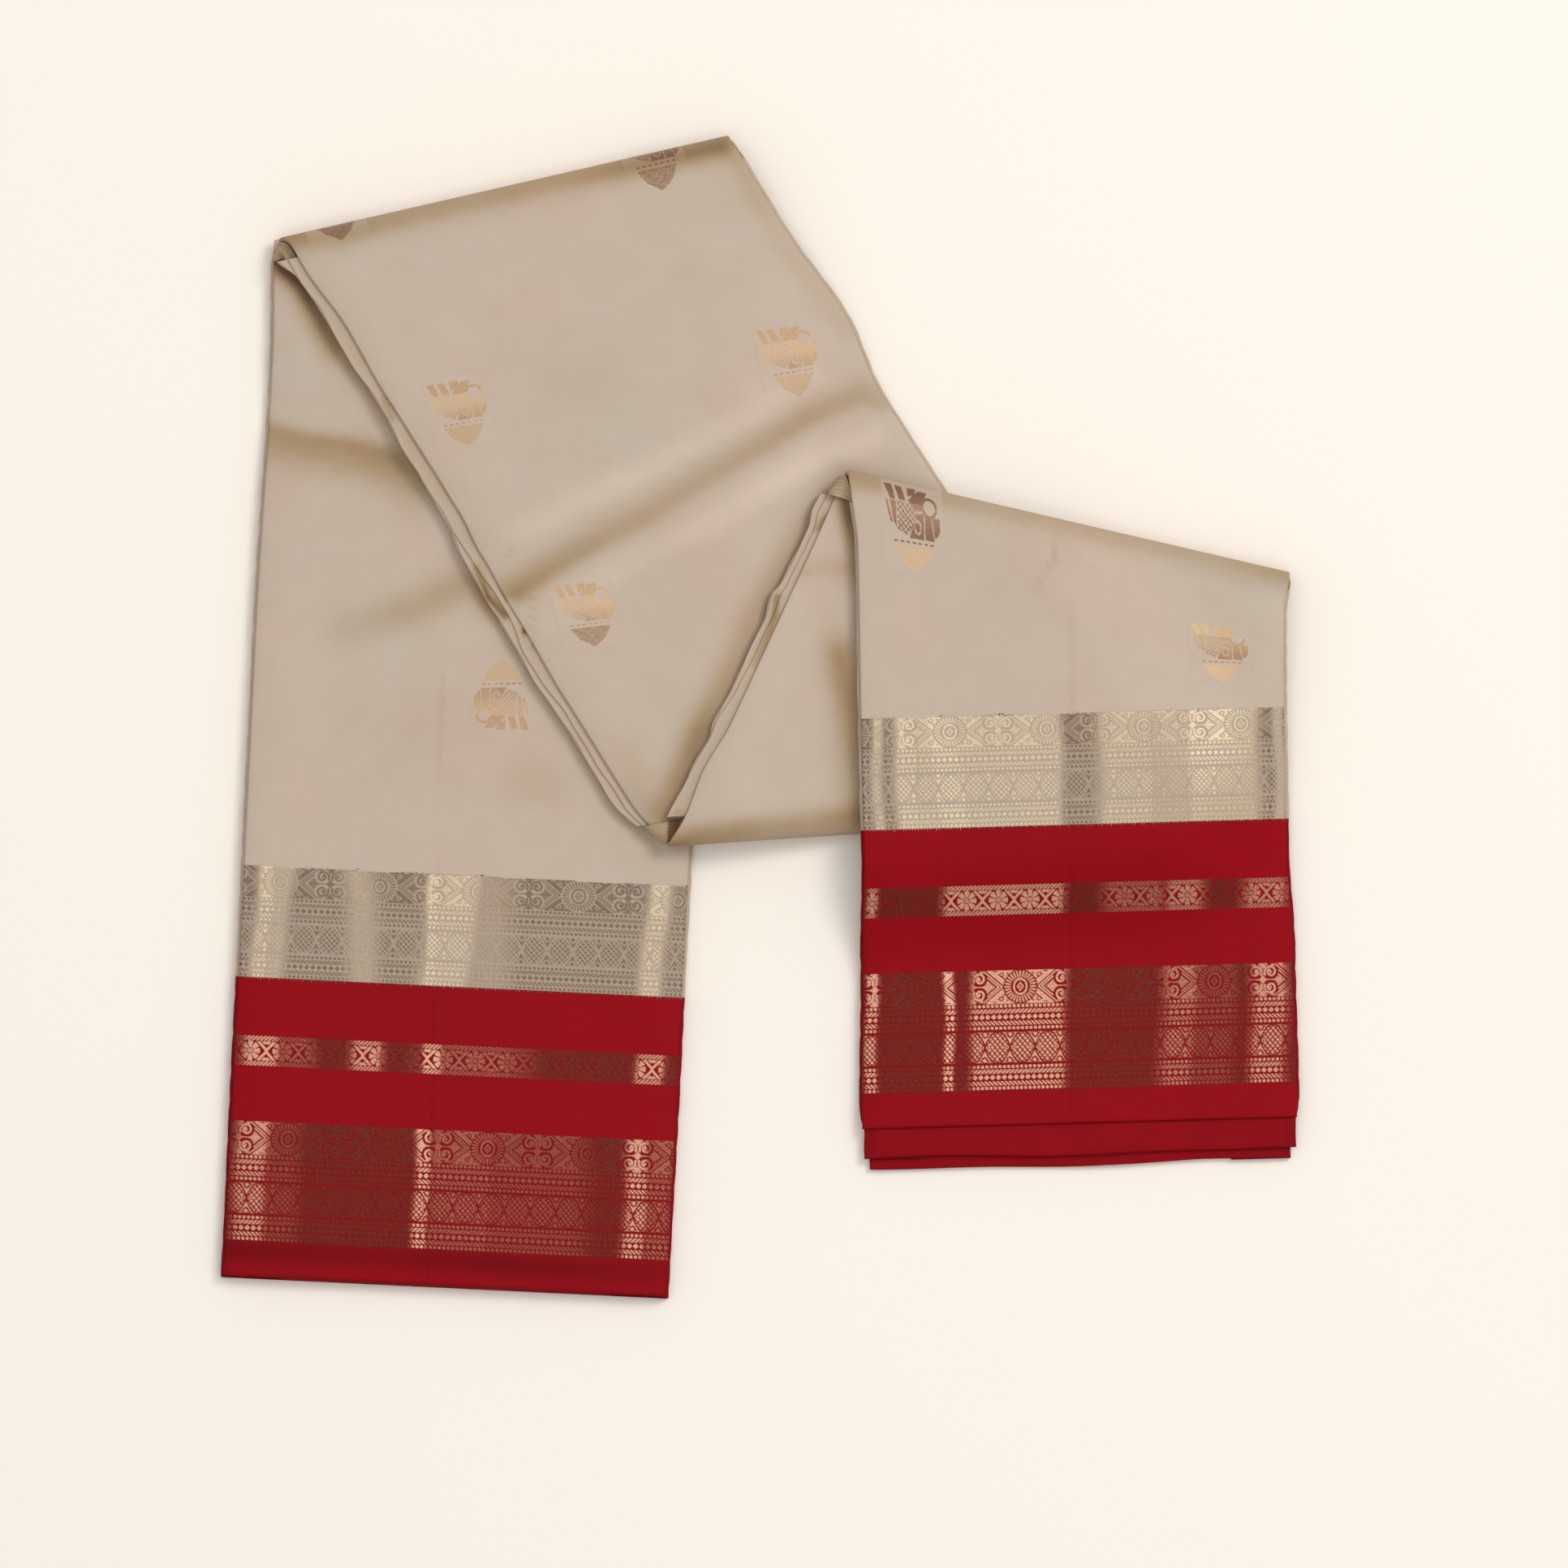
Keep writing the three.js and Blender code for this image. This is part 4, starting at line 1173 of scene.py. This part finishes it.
# along and across place each motif on its stretch, catches is the painted highlight on its tufts,
# body and base, where they catch the light
buttas = [
    {"name": "buttaTopLeft", "stretch": "diagonal",
     "along": -8.5, "across": 21.0, "catches": (0.0, 0.0, 0.05)},
    {"name": "buttaTopRight", "stretch": "diagonal",
     "along": 0.2, "across": 152.6, "catches": (0.0, 0.0, 0.1)},
    {"name": "buttaMiddleLeft", "stretch": "diagonal",
     "along": 96.0, "across": 18.8, "catches": (0.6, 0.62, 0.66)},
    {"name": "buttaMiddleRight", "stretch": "diagonal",
     "along": 98.9, "across": 156.4, "catches": (0.64, 0.6, 0.72)},
    {"name": "buttaLow", "stretch": "diagonal",
     "along": 199.0, "across": 17.6, "catches": (0.8, 0.7, 0.3)},
    {"name": "buttaLeftLeg", "stretch": "leftLeg",
     "along": 244.5, "across": 103.6, "catches": (0.6, 0.5, 0.76)},
    {"name": "buttaRightLeft", "stretch": "rightLeg",
     "along": 14.7, "across": 27.0, "catches": (0.0, 0.0, 0.9)},
    {"name": "buttaRightRight", "stretch": "rightLeg",
     "along": 50.2, "across": 153.6, "catches": (0.85, 0.35, 0.82)},
]


# A convex shape with straight sides, from its corners taken clockwise
def shape(u, v, *corners):
    inside = np.full(np.shape(u), 9.0)
    for (x, y), (nextX, nextY) in zip(corners, corners[1:] + corners[:1]):
        length = math.hypot(nextX - x, nextY - y)
        inside = np.minimum(inside, ((v - y) * (x - nextX) - (u - x) * (y - nextY)) / length)
    return inside


# u runs to the right and v up from the motif's middle
def buttaFigure(u, v):
    tufts = joined(
        shape(u, v, (-12.0, 13.8), (-8.6, 13.8), (-7.1, 8.1), (-9.4, 8.1)),
        shape(u, v, (-7.4, 13.6), (-4.5, 13.6), (-2.7, 8.2), (-5.5, 8.2)),
        shape(u, v, (-2.1, 13.6), (1.8, 13.6), (1.2, 10.9), (-1.8, 9.6)),
        shape(u, v, (2.9, 13.0), (6.5, 12.8), (3.7, 5.8), (1.9, 5.8), (-1.7, 8.5)),
    )
    belly = shape(u, v, (-6.6, 7.9), (1.9, 7.9), (2.2, 5.2), (0.9, 1.4), (-2.2, -3.2), (-6.4, -1.4))
    belly = within(belly, np.abs(repeated(u + v, 2.0)) - 0.22, np.abs(repeated(u - v, 2.0)) - 0.22)
    back = joined(
        shape(u, v, (-9.5, 7.9), (-6.95, 7.9), (-6.75, -1.0), (-8.3, 1.6)),
        stroke(u, v, (-10.9, 7.2), (-9.0, 1.2), 1.0),
    )
    breast = joined(
        shape(u, v, (2.2, 4.8), (5.2, 5.4), (5.2, -3.8), (-1.6, -3.8), (-0.9, -2.0)),
        shape(u, v, (5.0, 5.4), (8.9, 4.3), (9.1, -3.8), (5.0, -3.8)),
        shape(u, v, (8.7, 4.3), (11.6, 4.7), (11.4, -0.5), (8.9, -3.8)),
    )
    drop = np.abs(np.hypot(u - 2.1, (v - 0.2) / 1.7) - 1.3) - 0.17
    breast = within(breast, np.abs(u - 4.9) - 0.18, np.abs(u - 8.6 + 0.15 * v) - 0.18, drop)
    breast = joined(breast, ring(u - 7.2, v - 7.4, 2.9, 1.1))
    middle = u - 0.3
    dashes = within(0.85 - np.abs(repeated(middle, 2.5)), 0.4 - np.abs(v + 5.2), 8.5 - np.abs(middle))
    base = shape(
        u, v, (-8.4, -6.4), (8.9, -6.4), (5.9, -11.6), (1.2, -15.3), (-0.2, -15.3), (-5.2, -11.6),
    )
    base = within(base, 0.42 - np.abs(repeated(u - v, 1.1)))
    frayed = 0.16 * np.sin(u * 4.3 + 1.7 * np.sin(v * 2.9)) * np.sin(v * 4.9 + 1.3 * np.sin(u * 3.1))
    return joined(tufts, belly, back, breast, dashes, base) + frayed - 0.05


# Points on the face of a stretch, round its fold too, by the distance along the cloth
def onFace(stretch, along, across, raised):
    run = foldRun[stretch["name"]]
    share, height = 0 * along, packet["thickness"] + raised
    across = across - fromTable(stretch["sides"], along / stretch["length"], "left")
    flat, offset = clothPoints(stretch, np.maximum(along, run), across, share, height, 1.0)
    if stretch["before"] is None:
        return flat
    # 1 is on top, 0 at the fold line, and nothing is woven further under than -0.9
    angle = np.pi / 2 * np.clip(1 - (run - along) / packet["quarterTurn"], -0.9, 1)
    turned, offset = foldPoints(stretch, angle, 1 + raised / packet["thickness"], across, share)
    return np.where((along < run)[..., None], turned, flat)


def weaveButta(row):
    stretch = stretches[row["stretch"]]
    wide, high, grid = buttaSize["wide"], buttaSize["high"], buttaSize["grid"]
    u = np.linspace(-wide / 2, wide / 2, round(wide / grid))
    v = np.linspace(high / 2, -high / 2, round(high / grid))
    v, u = np.meshgrid(v, u, indexing="ij")
    isTurned = stretch["name"] == "leftLeg"
    facing, lean = -1 if isTurned else 1, buttaLean[stretch["name"]]
    along, across = row["along"] - v * math.hypot(1, lean), row["across"] + u * facing + v * lean
    points = onFace(stretch, along, across, buttaSize["raised"])
    tufts, body, base = row["catches"]
    # the body has a painted highlight above, and painted shade at the lower left
    body = body + 0.25 * smooth((v + 3) / 8) - 0.15 * smooth((3 - v) / 8) * (u < 2)
    glow = np.where(v > 7.8, tufts, np.where(v > -6, body, base))
    facts = {
        "cloth": np.stack([across, along, 0 * along], axis=-1).reshape(-1, 3),
        "shade": paintedShadeAt(stretch, points).ravel(),
        "zari": np.clip(buttaFigure(u, v), -figureReach, figureReach).ravel(),
        "paintedLustre": np.clip(glow, 0, 1).ravel(),
        "goldThreadAndShade": 0 * glow.ravel(),
    }
    faces = gridFaces(*points.shape[:2], flip=isTurned)
    return makePiece(row["name"], points, faces, facts, buttaZari)


buttaPieces = [weaveButta(row) for row in buttas]
print("motifs woven")

# The woven motifs, by the stretch that they lie on
wovenOn = {name: [] for name in stretches}
for piece, row in zip(buttaPieces, buttas):
    wovenOn[row["stretch"]].append(piece)

# Light, floor and camera
studio = {
    "centre": (9.9, -27.8),  # what the camera looks down on, in millimetres
    "across": 651.0,
    "cameraHeight": 1500.0,
    "floor": paint(250, 243, 234),
    "floorReach": 8.0,  # metres each way
    "floorDrop": 0.0004,  # metres under the cloth
    "skyTint": (1, 0.98, 0.95, 1),
    "skyStrength": 0.55,
}
lights = [  # metres and watts
    {"name": "keyLight", "place": (2.2, 1.8, 3.6), "size": 1.6, "power": 78.0, "tint": (1, 0.98, 0.95)},
    {"name": "overheadLight", "place": (0, 0, 4.2), "size": 3.6, "power": 44.0, "tint": (1, 1, 1)},
]


def addLight(row):
    data = bpy.data.lights.new(row["name"], "AREA")
    data.energy, data.size, data.color = row["power"], row["size"], row["tint"]
    light = bpy.data.objects.new(row["name"], data)
    light.location = row["place"]
    light.rotation_mode = "QUATERNION"
    aim = Vector(np.zeros(3) - np.array(row["place"]))  # at the middle of the frame
    light.rotation_quaternion = aim.to_track_quat("-Z", "Y")
    bpy.context.scene.collection.objects.link(light)


floorReach = studio["floorReach"]
floorCorners = [(x * floorReach, y * floorReach, 0) for x, y in ((-1, -1), (1, -1), (1, 1), (-1, 1))]
floorMesh = bpy.data.meshes.new("floor")
floorMesh.from_pydata(floorCorners, [], [(0, 1, 2, 3)])
floorMaterial, nodes, links, floorShader = newMaterial("paleFloor")
floorShader.inputs["Base Color"].default_value = studio["floor"]
floorShader.inputs["Roughness"].default_value = 0.9
floorMesh.materials.append(floorMaterial)
floor = bpy.data.objects.new("floor", floorMesh)
floor.location = (0, 0, -studio["floorDrop"])
bpy.context.scene.collection.objects.link(floor)

for row in lights:
    addLight(row)
world = bpy.data.worlds.new("studio")
world.use_nodes = True
sky = world.node_tree.nodes["Background"]
sky.inputs["Color"].default_value = studio["skyTint"]
sky.inputs["Strength"].default_value = studio["skyStrength"]
bpy.context.scene.world = world

cameraData = bpy.data.cameras.new("camera")
cameraData.type = "ORTHO"
cameraData.ortho_scale = studio["across"] * mm
camera = bpy.data.objects.new("camera", cameraData)
camera.location = [value * mm for value in (*studio["centre"], studio["cameraHeight"])]
bpy.context.scene.collection.objects.link(camera)
bpy.context.scene.camera = camera
print("studio ready")
